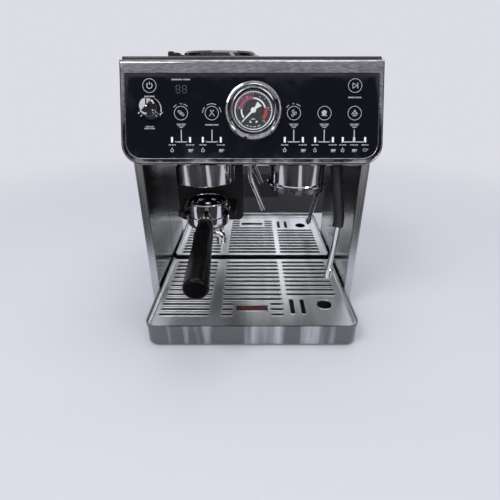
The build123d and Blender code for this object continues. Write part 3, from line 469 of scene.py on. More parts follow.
def printed_ink(name, color, glow=0.0):
    """Flat ink with a slightly uneven coat."""
    finish = Finish(name, color, 0.45)
    finish.shade(finish.marked(90.0, 0.38, 0.55), color, 1.0, 0.88)
    if glow:
        finish.set("Emission Color", (*color, 1.0))
        finish.set("Emission Strength", glow)
    return finish.material


def plain_metal(name, color, roughness, grain):
    """Cast or turned metal inside the machine."""
    finish = Finish(name, color, roughness, 1.0)
    finish.shade(finish.marked(grain, roughness * 0.7, roughness * 1.4), color, 1.0, 0.8)
    return finish.material


def plain_coat(name, color, roughness, grain):
    """Painted or moulded surface inside the machine."""
    finish = Finish(name, color, roughness)
    finish.shade(finish.marked(grain, roughness * 0.8, roughness * 1.3), color, 1.0, 0.82)
    finish.grained(900.0, 0.15, 0.0003)
    return finish.material


def control_glass(looks):
    """Black printed glass, polished, with faint finger marks."""
    return wiped("control_glass", looks.glass, 0.04, 0.0, (22.0, 0.03, 0.13), IOR=1.5)


def gloss_black(looks):
    """Glossy black moulding."""
    return wiped(
        "gloss_black", looks.black, 0.14, 0.0, (26.0, 0.10, 0.26), Coat_Weight=0.3, Coat_Roughness=0.06)


def handle_black(looks):
    """Deep black of the moulded handle."""
    return wiped(
        "handle_black", times(looks.black, 0.4), 0.2, 0.0, (22.0, 0.16, 0.34), Specular_IOR_Level=0.14)


def smoked_clear(looks):
    """Smoked clear plastic of the tank and the hopper."""
    return wiped(
        "smoked_clear", (0.36, 0.37, 0.39), 0.08, 0.0, (12.0, 0.04, 0.16), Transmission_Weight=1.0, IOR=1.46)


def lens_clear(looks):
    """Clear window of the gauge."""
    return wiped(
        "lens_clear", (0.97, 0.98, 0.98), 0.02, 0.0, (40.0, 0.0, 0.04), Transmission_Weight=1.0, IOR=1.1)


MAKERS = {
    "polished_steel": polished_steel,
    "brushed_steel": brushed_steel,
    "bay_steel_painted_shade": bay_steel_painted_shade,
    "mirror_steel": mirror_steel,
    "plate_steel_painted_light": plate_steel_painted_light,
    "tray_steel_painted_reflections": tray_steel_painted_reflections,
    "frame_chrome_painted_shade": frame_chrome_painted_shade,
    "shroud_chrome_painted_bands": shroud_chrome_painted_bands,
    "bezel_chrome": bezel_chrome,
    "handle_black": handle_black,
    "chrome": lambda looks: wiped("bright_chrome", looks.chrome, 0.05, 1.0, (30.0, 0.03, 0.10)),
    "dark_steel": lambda looks: wiped("dark_steel", times(looks.steel, 0.5), 0.3, 1.0, (60.0, 0.22, 0.42)),
    "control_glass": control_glass,
    "key_black": control_glass,
    "gloss_black": gloss_black,
    "satin_black": satin_black,
    "black_rubber": black_rubber,
    "smoked_clear": smoked_clear,
    "lens_clear": lens_clear,
    "dial_black": lambda looks: plain_coat("dial_black", (0.012, 0.013, 0.014), 0.5, 70.0),
    "needle_white": lambda looks: printed_ink("needle_white", looks.printed),
    "print_white": lambda looks: printed_ink("print_white", looks.printed),
    "print_soft": lambda looks: printed_ink("print_soft", times(looks.printed, 0.62)),
    "print_grey": lambda looks: printed_ink("print_grey", times(looks.printed, 0.42)),
    "print_dim": lambda looks: printed_ink("print_dim", times(looks.printed, 0.07)),
    "print_red": lambda looks: printed_ink("print_red", looks.signal),
    "print_pink": lambda looks: printed_ink("print_pink", looks.sector),
    "print_rose": lambda looks: printed_ink("print_rose", times(looks.sector, 0.5)),
    "lamp_white": lambda looks: printed_ink("lamp_white", (0.86, 0.87, 0.9), 0.12),
    "float_red": lambda looks: plain_coat("float_red", times(looks.signal, 0.26), 0.3, 40.0),
    "group_brass": lambda looks: plain_metal("group_brass", (0.36, 0.33, 0.29), 0.28, 40.0),
    "cast_aluminium": lambda looks: plain_metal("cast_aluminium", (0.55, 0.56, 0.57), 0.45, 80.0),
    "painted_steel": lambda looks: plain_coat("painted_steel", (0.03, 0.03, 0.032), 0.5, 30.0),
    "board_green": lambda looks: plain_coat("board_green", (0.02, 0.12, 0.05), 0.4, 50.0),
    "pipe_white": lambda looks: plain_coat("pipe_white", (0.75, 0.75, 0.73), 0.4, 60.0),
}
# Where a solid's own finish differs from its slot's usual one
NODE_FINISH = {
    "drip_plate": "plate_steel_painted_light",
    "tray_front": "tray_steel_painted_reflections",
    "panel_frame": "frame_chrome_painted_shade",
    "grinder_shroud": "shroud_chrome_painted_bands",
    "group_shroud": "shroud_chrome_painted_bands",
    "gauge_case": "bezel_chrome",
    "niche_wall_left": "bay_steel_painted_shade",
    "niche_wall_right": "bay_steel_painted_shade",
    "splash_panel": "mirror_steel",
    "filter_basket": "chrome",
    "portafilter_bowl": "chrome",
    "portafilter_handle": "handle_black",
}
MADE = {}


def material(slot):
    """The material of a slot, made on first use."""
    if slot not in MADE:
        MADE[slot] = MAKERS[slot](settings()[0])
    return MADE[slot]


def on_panel(joint):
    """Where a joint's axis meets the panel, in millimetres along the panel's own axes."""
    arm = Vector(JOINTS[joint]["pos_m"]) - PANEL_AT
    return arm.x / MM, arm.dot(PANEL_UP) / MM


def panel_matrix(x=0.0, y=0.0, z=0.0):
    """Place on the control panel, given in millimetres, for a shape drawn flat in metres."""
    turn = Matrix((Vector((1, 0, 0)), PANEL_UP, PANEL_OUT)).transposed().to_4x4()
    at = PANEL_AT + Vector((x * MM, 0, 0)) + PANEL_UP * y * MM + PANEL_OUT * z * MM
    return Matrix.Translation(at) @ turn


def behind(y):
    """Upright face seen from behind, at a depth in millimetres, for a shape drawn flat in metres."""
    turn = Matrix(((-1, 0, 0), (0, 0, 1), (0, 1, 0))).to_4x4()
    return Matrix.Translation((0, y * MM, 0)) @ turn


def make_piece(name, bm, body, slot, place=Matrix(), smooth=False):
    """Object from a bmesh in millimetres, set at its place: it rides on a body and has one material."""
    bmesh.ops.transform(bm, matrix=place @ Matrix.Scale(MM, 4), verts=bm.verts)
    mesh = bpy.data.meshes.new(name)
    bm.to_mesh(mesh)
    bm.free()
    for face in mesh.polygons:
        face.use_smooth = smooth
    piece = bpy.data.objects.new(name, mesh)
    bpy.context.scene.collection.objects.link(piece)
    piece.data.materials.append(material(slot))
    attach(piece, body)
    return piece


def mesh_of(curve):
    """Mesh of a curve or a text."""
    holder = bpy.data.objects.new(curve.name, curve)
    mesh = bpy.data.meshes.new_from_object(holder)
    bpy.data.objects.remove(holder)
    return mesh


class Drawing:
    """Flat shapes in millimetres that become one thin printed piece."""

    def __init__(self):
        self.bm = bmesh.new()

    def ring(self, x, y, radius, width, start=0.0, sweep=360.0):
        """Ring or arc, with its angles in degrees from the right, counter-clockwise."""
        angle = radians(start)
        rims = (radius - width / 2, radius + width / 2)
        ends = [self.bm.verts.new((x + rim * cos(angle), y + rim * sin(angle), 0)) for rim in rims]
        edge = self.bm.edges.new(ends)
        bmesh.ops.spin(
            self.bm, geom=[edge, *ends], cent=(x, y, 0), axis=(0, 0, 1), angle=radians(sweep),
            steps=max(4, int(abs(sweep) / 9)), use_merge=sweep >= 360.0)

    def oval(self, x, y, long, short, width, turn):
        """Outline of an ellipse, turned by degrees."""
        kept = set(self.bm.verts)
        self.ring(0, 0, long, width)
        made = [vert for vert in self.bm.verts if vert not in kept]
        place = Matrix.Translation((x, y, 0)) @ Matrix.Rotation(radians(turn), 4, "Z")
        bmesh.ops.transform(self.bm, matrix=place @ Matrix.Diagonal((1, short / long, 1, 1)), verts=made)

    def disc(self, x, y, radius, stretch=1.0, turn=0.0, segments=20):
        """Filled circle or ellipse."""
        place = Matrix.Translation((x, y, 0)) @ Matrix.Rotation(radians(turn), 4, "Z")
        bmesh.ops.create_circle(
            self.bm, cap_ends=True, segments=segments, radius=radius,
            matrix=place @ Matrix.Diagonal((1, stretch, 1, 1)))

    def half_disc(self, x, y, radius, start):
        """Filled half circle."""
        self.ring(x, y, radius / 2, radius, start, 180.0)

    def bar(self, x0, y0, x1, y1, width):
        """Straight stroke between two points."""
        run = Vector((x1 - x0, y1 - y0, 0))
        turn = Vector((1, 0, 0)).rotation_difference(run).to_matrix().to_4x4()
        place = Matrix.Translation(((x0 + x1) / 2, (y0 + y1) / 2, 0)) @ turn
        bmesh.ops.create_grid(
            self.bm, x_segments=1, y_segments=1, size=0.5,
            matrix=place @ Matrix.Diagonal((run.length, width, 1, 1)))

    def shape(self, *points):
        """Filled outline."""
        self.bm.faces.new([self.bm.verts.new((x, y, 0)) for x, y in points])

    def dashes(self, x, y, lengths, height, gap=0.7):
        """Row of short strokes centred on a point, where a caption would be."""
        at = x - (sum(lengths) + gap * (len(lengths) - 1)) / 2
        for length in lengths:
            self.bar(at, y, at + length, y, height)
            at += length + gap

    def piece(self, name, body, slot, place, record_slot, thickness=PRINT_T):
        """Thin printed piece on its carrier."""
        bmesh.ops.remove_doubles(self.bm, verts=self.bm.verts, dist=0.01)
        bmesh.ops.recalc_face_normals(self.bm, faces=self.bm.faces)
        for face in self.bm.faces:
            if face.normal.z < 0:
                face.normal_flip()
        bmesh.ops.solidify(self.bm, geom=self.bm.faces[:], thickness=thickness)
        bmesh.ops.translate(self.bm, verts=self.bm.verts, vec=(0, 0, thickness * PRINT_LIFT))
        return make_piece(name, self.bm, body, slot, place)


def figures(name, numbers, size, body, slot, place):
    """Plain numbers, each with its place in millimetres, as one thin printed piece."""
    bm = bmesh.new()
    for text, x, y in numbers:
        words = bpy.data.curves.new("figure", "FONT")
        words.body = text
        words.size = size
        words.align_x, words.align_y = "CENTER", "CENTER"
        words.extrude = PRINT_T / 2
        mesh = mesh_of(words)
        mesh.transform(Matrix.Translation((x, y, PRINT_T / 2)))
        bm.from_mesh(mesh)
    return make_piece(name, bm, body, slot, place)


def corners(points):
    """Lowest and highest corner of the box round some points."""
    return [Vector([pick(point[axis] for point in points) for axis in range(3)]) for pick in (min, max)]


def extent(solid):
    """Lowest and highest corner of a solid, in millimetres."""
    return corners([Vector(corner) / MM for corner in NODES[solid].bound_box])


def power_sign(art, line):
    """Broken ring with an upright stroke."""
    art.ring(0, 0, 3.3, line * 1.3, 122, 296)
    art.bar(0, 1.0, 0, 4.5, line * 1.3)


def start_sign(art, line):
    """Triangle and bar."""
    corners = [(-2.7, 3.2), (-2.7, -3.2), (2.4, 0.0)]
    for (x0, y0), (x1, y1) in zip(corners, corners[1:] + corners[:1]):
        art.bar(x0, y0, x1, y1, line)
    art.bar(3.3, 3.4, 3.3, -3.4, line * 1.2)


def beans_sign(art, line):
    """Two coffee beans."""
    for x, y in ((-1.5, 1.1), (1.6, -1.2)):
        art.oval(x, y, 2.5, 1.6, line, -42)
        art.bar(x - 1.5, y + 1.4, x + 1.5, y - 1.4, line * 0.7)


def program_sign(art, line):
    """Slanting stroke with a foot and a dot."""
    art.bar(-1.9, 3.6, 3.0, -3.4, line * 1.2)
    art.bar(0.1, 0.7, -2.9, -3.4, line * 1.2)
    art.disc(1.5, 2.9, 0.9)


def one_cup_sign(art, line):
    """Three drops."""
    for x, y in ((-1.0, 2.4), (1.6, -0.2), (-1.4, -2.4)):
        art.oval(x, y, 1.6, 1.25, line, 50)


def two_cup_sign(art, line):
    """Leaf over a saucer."""
    art.half_disc(-0.2, 0.2, 3.3, 20)
    art.disc(0.1, -0.6, 2.7, 0.55, 24)
    art.bar(-3.4, -2.8, 3.0, -2.8, line * 1.3)


def steam_sign(art, line):
    """Small pot with a knob on its lid."""
    art.ring(0, -0.9, 2.6, line * 1.3, 0, 180)
    art.bar(-3.9, -0.9, 3.9, -0.9, line * 1.2)
    art.bar(-2.4, -3.0, 2.4, -3.0, line * 1.4)
    art.disc(0, 3.0, 0.9)


KEY_SIGNS = {
    "power_key": power_sign,
    "start_key": start_sign,
    "basket_size_key": beans_sign,
    "program_key": program_sign,
    "one_cup_key": one_cup_sign,
    "two_cup_key": two_cup_sign,
    "steam_key": steam_sign,
}


class ESPRESSO_OT_key_print(bpy.types.Operator):
    """Print a ring and a symbol on every key"""
    bl_idname = "espresso.key_print"
    bl_label = "Key print"

    def execute(self, context):
        sizes = settings()[1]
        for key, (x, y) in KEY_PLACES.items():
            art = Drawing()
            art.ring(0, 0, sizes.ring_radius, sizes.ring_width)
            KEY_SIGNS[key](art, sizes.line_width)
            art.piece(f"{key}_print", key, "print_soft", panel_matrix(x, y, KEY_FACE), "needle_white")
        return {"FINISHED"}


class ESPRESSO_OT_panel_print(bpy.types.Operator):
    """Print the brackets, the scale, the display and the small marks on the glass, and set its lamps"""
    bl_idname = "espresso.panel_print"
    bl_label = "Panel print"

    def execute(self, context):
        line = settings()[1].line_width
        on_glass = panel_matrix(0, 0, GLASS_FACE)
        white, grey = Drawing(), Drawing()
        for key, lamps in LAMP_GROUPS.items():
            self.bracket(white, KEY_PLACES[key][0], lamps, line)
            for number, x in enumerate(lamps):
                grey.dashes(x, -37.2, ((3.2, 4.6), (2.0, 3.0, 3.4), (5.6, 2.2))[number % 3], 1.3)
                self.small_sign(white, number, x, -43.2, line * 0.8)
        self.captions(grey)
        self.scale(white, line)
        white.piece("panel_lines", "chassis", "print_soft", on_glass, "needle_white")
        grey.piece("panel_captions", "chassis", "print_grey", on_glass, "needle_white")
        self.display().piece("time_display", "chassis", "print_dim", on_glass, "control_glass")
        lamps = Drawing()
        for group in LAMP_GROUPS.values():
            for x in group:
                lamps.bar(x, LAMP_ROW_Y - 3.2, x, LAMP_ROW_Y + 3.2, 2.4)
        lamps.piece("panel_lamps", "chassis", "lamp_white", on_glass, "needle_white")
        return {"FINISHED"}

    def bracket(self, art, x, lamps, line):
        """Stem under a key and the bracket between its lamps."""
        foot = LAMP_ROW_Y - 2.6
        art.bar(x, -19.0, x, foot, line * 1.7)
        if len(lamps) == 3:
            art.bar(lamps[0], foot, lamps[-1], foot, line * 1.7)
            return
        left, right = lamps[0] + 4.3, lamps[1] - 4.3
        art.bar(left, foot, right, foot, line * 1.6)
        for end, way in ((left, 1), (right, -1)):
            art.shape((end - way * 0.9, foot + 1.3), (end + way * 1.4, foot + 0.3),
                      (end + way * 1.4, foot - 0.6), (end - way * 0.2, foot - 0.6))

    def small_sign(self, art, number, x, y, line):
        """Cup, drop or pot under a lamp."""
        if number == 0:
            art.ring(x, y - 0.6, 1.7, line * 1.3)
            art.bar(x, y + 1.2, x, y + 3.0, line * 1.2)
        elif number == 1:
            art.half_disc(x, y + 0.8, 2.3, 180)
            art.ring(x + 2.6, y, 0.9, line)
            art.bar(x - 2.6, y - 2.2, x + 2.6, y - 2.2, line)
        else:
            art.oval(x, y, 2.2, 1.5, line * 1.2, 0)
            art.bar(x + 2.0, y, x + 4.0, y + 1.2, line)

    def captions(self, art):
        """Short strokes where words would be."""
        art.dashes(-124.0, 20.4, (5.2, 6.4), 1.6)
        art.dashes(-86.0, 40.2, (13.0, 8.2), 1.6, 1.2)
        art.dashes(124.4, 19.2, (7.4, 8.0), 1.6)
        for row, lengths in enumerate(((5.0, 4.2), (6.8, 5.4))):
            art.dashes(-124.6, -15.4 - 2.2 * row, lengths, 1.4)
        art.dashes(-48.8, -13.2, (9.6, 6.0), 1.5)
        for key in ("basket_size_key", "one_cup_key", "two_cup_key", "steam_key"):
            for row, lengths in enumerate(((5.0, 5.2), (3.6, 4.2), (4.6,))):
                art.dashes(KEY_PLACES[key][0], -12.4 - 1.9 * row, lengths, 1.2)
        for key, arcs in (
                ("basket_size_key", ((118, 24), (84, 12), (46, 28))),
                ("one_cup_key", ((122, 22), (88, 12), (46, 30))),
                ("program_key", ((140, 38), (62, 60), (6, 34)))):
            x, y = KEY_PLACES[key]
            for start, sweep in arcs:
                art.ring(x, y, 11.2, 1.0, start, sweep)

    def scale(self, art, line):
        """Swelling arc and end marks round the dose knob."""
        x, y = on_panel("dose_knob_turn")
        for step in range(8):
            art.ring(x, y, 14.0 + 0.12 * step, 0.5 + 0.14 * step, 62 - 9.5 * step, -9.8)
        art.shape((x + 13.0, y - 5.4), (x + 17.4, y - 3.6), (x + 13.0, y - 9.0))
        art.ring(x, y, 12.6, line * 1.4, 118, 34)
        art.disc(x - 12.4, y - 5.0, 1.1)
        art.bar(x - 10.4, y - 9.0, x - 8.4, y - 7.0, line * 1.6)
        art.bar(x + 9.6, y - 9.4, x + 7.8, y - 7.4, line * 1.6)

    def display(self):
        """Two unlit seven-segment figures."""
        art = Drawing()
        half_w, half_h = 2.3, 4.4
        for x in DISPLAY_X:
            for y in (half_h, 0, -half_h):
                art.bar(x - half_w + 0.6, DISPLAY_Y + y, x + half_w - 0.6, DISPLAY_Y + y, 0.8)
            for side in (-half_w, half_w):
                for low in (-half_h, 0):
                    foot = DISPLAY_Y + low
                    art.bar(x + side, foot + 0.6, x + side, foot + half_h - 0.6, 0.8)
        return art


class ESPRESSO_OT_glass_bead(bpy.types.Operator):
    """Lay the thin plated bead round the sides and the foot of the control glass"""
    bl_idname = "espresso.glass_bead"
    bl_label = "Glass bead"

    def execute(self, context):
        side, foot = OPENING_HALF - BEAD_R * 0.6, OPENING_LOW + BEAD_R * 0.6
        path = [(-side, OPENING_TOP)]
        for way, start in ((-1, 180), (1, 270)):
            for step in range(10):
                angle = radians(start + 10 * step)
                path.append((way * (side - OPENING_CORNER) + OPENING_CORNER * cos(angle),
                             foot + OPENING_CORNER + OPENING_CORNER * sin(angle)))
        path.append((side, OPENING_TOP))
        run = bpy.data.curves.new("bead", "CURVE")
        run.dimensions = "3D"
        run.bevel_depth = BEAD_R
        run.bevel_resolution = 2
        run.use_fill_caps = True
        line = run.splines.new("POLY")
        line.points.add(len(path) - 1)
        for point, (x, y) in zip(line.points, path):
            point.co = (x, y, 0, 1)
        bm = bmesh.new()
        bm.from_mesh(mesh_of(run))
        place = panel_matrix(0, 0, GLASS_FACE + BEAD_R / 2)
        # The bead takes the frame's chrome, darkened as painted shade.
        make_piece("glass_bead", bm, "chassis", "frame_chrome_painted_shade", place, smooth=True)
        return {"FINISHED"}


class ESPRESSO_OT_gauge_print(bpy.types.Operator):
    """Print the pressure gauge's dial"""
    bl_idname = "espresso.gauge_print"
    bl_label = "Gauge print"

    def execute(self, context):
        on_dial = panel_matrix(*on_panel("gauge_needle_swing"))
        white, red, pink, rose = Drawing(), Drawing(), Drawing(), Drawing()
        white.ring(0, 0, 22.4, 1.1)
        for step in range(31):
            angle = radians(225 - 9 * step)
            inner = 19.2 if step % 5 == 0 else 20.4
            white.bar(inner * cos(angle), inner * sin(angle), 21.6 * cos(angle), 21.6 * sin(angle), 0.45)
        white.ring(0, 0, 14.5, 1.9, 174, 42)
        white.ring(0, 0, 14.5, 1.9, 12, 79)
        for start, sweep in ((243, 9), (257, 8), (270, 10), (286, 9)):
            white.ring(0, 0, 19.3, 0.7, start, sweep)
        for x in (-3.6, 3.8):
            white.disc(x, -13.4, 1.5, 0.7, 50 if x > 0 else -50)
        white.bar(-2.4, -10.2, 2.0, -10.2, 0.9)
        red.ring(0, 0, 15.4, 4.0, -38, 46)
        pink.ring(0, 0, 15.2, 4.4, 91, 83)
        rose.ring(0, 0, 19.5, 4.2, 91, 83)
        white.piece("dial_lines", "chassis", "print_white", on_dial, "needle_white")
        red.piece("dial_sector_red", "chassis", "print_red", on_dial, "float_red")
        pink.piece("dial_sector_inner", "chassis", "print_pink", on_dial, "float_red", SECTOR_T)
        rose.piece("dial_sector_outer", "chassis", "print_rose", on_dial, "float_red", SECTOR_T)
        numbers = []
        for count in range(6):
            angle = radians(225 - 54 * count)
            numbers.append((str(count * 3), 17.4 * cos(angle), 17.4 * sin(angle)))
        figures("dial_figures", numbers, 3.0, "chassis", "print_white", on_dial)
        return {"FINISHED"}


class ESPRESSO_OT_basket_holes(bpy.types.Operator):
    """Lay black discs of painted shade where the fine holes in the filter basket's floor are, and roll its
    rim
    """
    bl_idname = "espresso.basket_holes"
    bl_label = "Basket holes and rim"

    def execute(self, context):
        low, high = extent("filter_basket")
        art = Drawing()
        rows = int(HOLE_REACH / HOLE_PITCH)
        for row in range(-rows, rows + 1):
            for column in range(-rows, rows + 1):
                x, y = HOLE_PITCH * (column + 0.5 * (row % 2)), HOLE_PITCH * row * HOLE_ROW
                if Vector((x, y)).length < HOLE_REACH:
                    art.disc(x, y, HOLE_R, segments=8)
        middle = (low + high) / 2
        floor = Matrix.Translation(Vector((middle.x, middle.y, low.z + BASKET_SHEET)) * MM)
        # Painted shade: the holes are not cut; black discs stand for the dark seen through them.
        art.piece("basket_holes", "portafilter", "satin_black", floor, "satin_black")
        self.rim(middle, (high.x - low.x) / 2, high.z)
        return {"FINISHED"}

    def rim(self, middle, radius, top):
        """Rolled rim of the basket."""
        bm = bmesh.new()
        across = Matrix.Translation((radius - BASKET_RIM_R, 0, 0)) @ Matrix.Rotation(pi / 2, 4, "X")
        bmesh.ops.create_circle(bm, segments=10, radius=BASKET_RIM_R, matrix=across)
        bmesh.ops.spin(
            bm, geom=[*bm.verts, *bm.edges], cent=(0, 0, 0), axis=(0, 0, 1), angle=2 * pi, steps=64,
            use_merge=True)
        bmesh.ops.recalc_face_normals(bm, faces=bm.faces)
        place = Matrix.Translation(Vector((middle.x, middle.y, top)) * MM)
        make_piece("basket_rim", bm, "portafilter", "chrome", place, smooth=True)


class ESPRESSO_OT_slot_lips(bpy.types.Operator):
    """Roll a bright lip round every opening of the drip plate; its brightness is partly the plate's painted
    light
    """
    bl_idname = "espresso.slot_lips"
    bl_label = "Slot lips"

    def execute(self, context):
        bm = bmesh.new()
        bm.from_mesh(NODES["drip_plate"].data)
        bmesh.ops.transform(bm, matrix=Matrix.Scale(1 / MM, 4), verts=bm.verts)
        bmesh.ops.remove_doubles(bm, verts=bm.verts, dist=0.001)
        rims = {edge for edge in bm.edges if self.on_rim(edge)}
        bmesh.ops.delete(bm, geom=bm.faces[:], context="FACES_ONLY")
        bmesh.ops.delete(bm, geom=[edge for edge in bm.edges if edge not in rims], context="EDGES")
        for loop in self.loops(bm):
            self.roll(bm, loop)
        bmesh.ops.remove_doubles(bm, verts=bm.verts, dist=0.001)
        bmesh.ops.recalc_face_normals(bm, faces=bm.faces)
        make_piece("slot_lips", bm, "drip_plate", "plate_steel_painted_light", smooth=True)
        return {"FINISHED"}

    def on_rim(self, edge):
        """True where the plate's upper face meets an upright wall."""
        if len(edge.link_faces) != 2 or not edge.is_convex:
            return False
        low, high = sorted(face.normal.z for face in edge.link_faces)
        return abs(low) < 0.1 and high > 0.99

    def loops(self, bm):
        """Edges of each closed rim, apart from the plate's own outline."""
        left = set(bm.edges)
        found = []
        while left:
            loop, reach = set(), [left.pop()]
            while reach:
                edge = reach.pop()
                loop.add(edge)
                near = [other for vert in edge.verts for other in vert.link_edges if other in left]
                left.difference_update(near)
                reach.extend(near)
            verts = {vert for edge in loop for vert in edge.verts}
            low, high = corners([vert.co for vert in verts])
            if high.x - low.x < LONGEST_OPENING and len(verts) == len(loop):
                found.append(list(loop))
            else:
                bmesh.ops.delete(bm, geom=list(loop), context="EDGES")
        return found

    def roll(self, bm, loop):
        """Carry a rim's edges round the lip's section, out from the opening's middle."""
        verts = {vert for edge in loop for vert in edge.verts}
        low, high = corners([vert.co for vert in verts])
        middle, half = (low + high) / 2, (high - low) / 2
        before = (0.0, 0.0)
        for out, up in LIP_SECTION:
            made = bmesh.ops.extrude_edge_only(bm, edges=loop)["geom"]
            loop = [item for item in made if isinstance(item, bmesh.types.BMEdge)]
            verts = [item for item in made if isinstance(item, bmesh.types.BMVert)]
            spread = [(half[axis] + out) / (half[axis] + before[0]) for axis in range(2)]
            bmesh.ops.scale(bm, verts=verts, vec=(*spread, 1.0), space=Matrix.Translation(-middle))
            bmesh.ops.translate(bm, verts=verts, vec=(0, 0, up - before[1]))
            before = (out, up)


class ESPRESSO_OT_cup_mat(bpy.types.Operator):
    """Lay the ribbed rubber mat into the cup rest on the deck"""
    bl_idname = "espresso.cup_mat"
    bl_label = "Cup mat"

    def execute(self, context):
        deck = extent("top_deck")[1].z - CUP_REST_DEPTH
        bm = bmesh.new()
        x, y = CUP_REST_AT
        width, depth = (size - 2 * CUP_MAT_GAP for size in CUP_REST_SIZE)
        middle = Matrix.Translation((x, y, deck + CUP_MAT_T / 2))
        bmesh.ops.create_cube(bm, size=1.0, matrix=middle @ Matrix.Diagonal((width, depth, CUP_MAT_T, 1)))
        upright = [edge for edge in bm.edges if abs(edge.verts[0].co.z - edge.verts[1].co.z) > 0.1]
        bmesh.ops.bevel(
            bm, geom=upright, offset=CUP_MAT_CORNER, affect="EDGES", segments=6, profile=0.5, material=-1)
        ribs = int((depth - CUP_MAT_CORNER) / RIB_PITCH)
        size = Matrix.Diagonal((width - 2 * RIB_INSET, RIB_W, RIB_H, 1))
        for step in range(ribs):
            along = y + (step - (ribs - 1) / 2) * RIB_PITCH
            kept = set(bm.edges)
            rib = Matrix.Translation((x, along, deck + RIB_MIDDLE)) @ size
            bmesh.ops.create_cube(bm, size=1.0, matrix=rib)
            bmesh.ops.bevel(
                bm, geom=[edge for edge in bm.edges if edge not in kept], offset=RIB_ROUND, affect="EDGES",
                segments=2, profile=0.5, material=-1)
        make_piece("cup_mat", bm, "chassis", "black_rubber")
        return {"FINISHED"}


class ESPRESSO_OT_rear_screws(bpy.types.Operator):
    """Fit the screws that hold the rear cover"""
    bl_idname = "espresso.rear_screws"
    bl_label = "Rear screws"

    def execute(self, context):
        low, high = extent("rear_cover")
        heads, slots = bmesh.new(), Drawing()
        for x in (low.x + SCREW_INSET, high.x - SCREW_INSET):
            for level in SCREW_LEVELS:
                z = low.z + level * (high.z - low.z)
                self.head(heads, Matrix.Translation((x, high.y, z)) @ Matrix.Rotation(-pi / 2, 4, "X"))
                for rise in (SCREW_CROSS, -SCREW_CROSS):
                    slots.bar(-x - SCREW_CROSS, z - rise, -x + SCREW_CROSS, z + rise, FINE_LINE)
        make_piece("rear_screws", heads, "chassis", "dark_steel", smooth=True)
        face = behind(high.y + SCREW_HIGH)
        # Painted shade: the cross slots are thin black bars on the heads, standing for the shade in their
        # recesses.
        slots.piece("rear_screw_slots", "chassis", "satin_black", face, "satin_black")
        return {"FINISHED"}

    def head(self, bm, place):
        """Low domed head, turned from its section."""
        kept = set(bm.verts)
        section = ((0.0, SCREW_HIGH), (1.8, SCREW_HIGH), (2.7, SCREW_HIGH * 0.6), (3.0, 0.0))
        verts = [bm.verts.new((radius, 0, z)) for radius, z in section]
        edges = [bm.edges.new(pair) for pair in zip(verts, verts[1:])]
        bmesh.ops.spin(
            bm, geom=[*verts, *edges], cent=(0, 0, 0), axis=(0, 0, 1), angle=2 * pi, steps=20, use_merge=True)
        made = [vert for vert in bm.verts if vert not in kept]
        bmesh.ops.remove_doubles(bm, verts=made, dist=0.001)
        made = [vert for vert in bm.verts if vert not in kept]
        faces = {face for vert in made for face in vert.link_faces}
        bmesh.ops.recalc_face_normals(bm, faces=list(faces))
        bmesh.ops.transform(bm, matrix=place, verts=made)


class ESPRESSO_OT_tank_scale(bpy.types.Operator):
    """Print the level scale on the back of the water tank"""
    bl_idname = "espresso.tank_scale"
    bl_label = "Tank scale"

    def execute(self, context):
        low, high = extent("water_tank")
        face = behind(high.y)
        art, numbers = Drawing(), []
        right, foot = -low.x - TANK_SCALE_INSET, low.z + TANK_SCALE_FROM
        for step in range(TANK_STEPS + 1):
            z = foot + step * TANK_STEP
            long = step % 2 == 0
            art.bar(right - (9.0 if long else 5.0), z, right, z, FINE_LINE)
            if long and step:
                numbers.append((str(step // 2), right - 14.0, z))
        art.bar(right, foot, right, foot + TANK_STEPS * TANK_STEP, FINE_LINE)
        art.piece("tank_scale", "water_tank", "print_grey", face, "needle_white")
        figures("tank_scale_figures", numbers, 6.0, "water_tank", "print_grey", face)
        return {"FINISHED"}


class ESPRESSO_OT_finish_solids(bpy.types.Operator):
    """Give every solid of the machine its finish"""
    bl_idname = "espresso.finish_solids"
    bl_label = "Finish solids"

    def execute(self, context):
        for name, solid in NODES.items():
            solid.data.materials.clear()
            solid.data.materials.append(material(NODE_FINISH.get(name, SLOT_OF_NODE[name])))
        return {"FINISHED"}


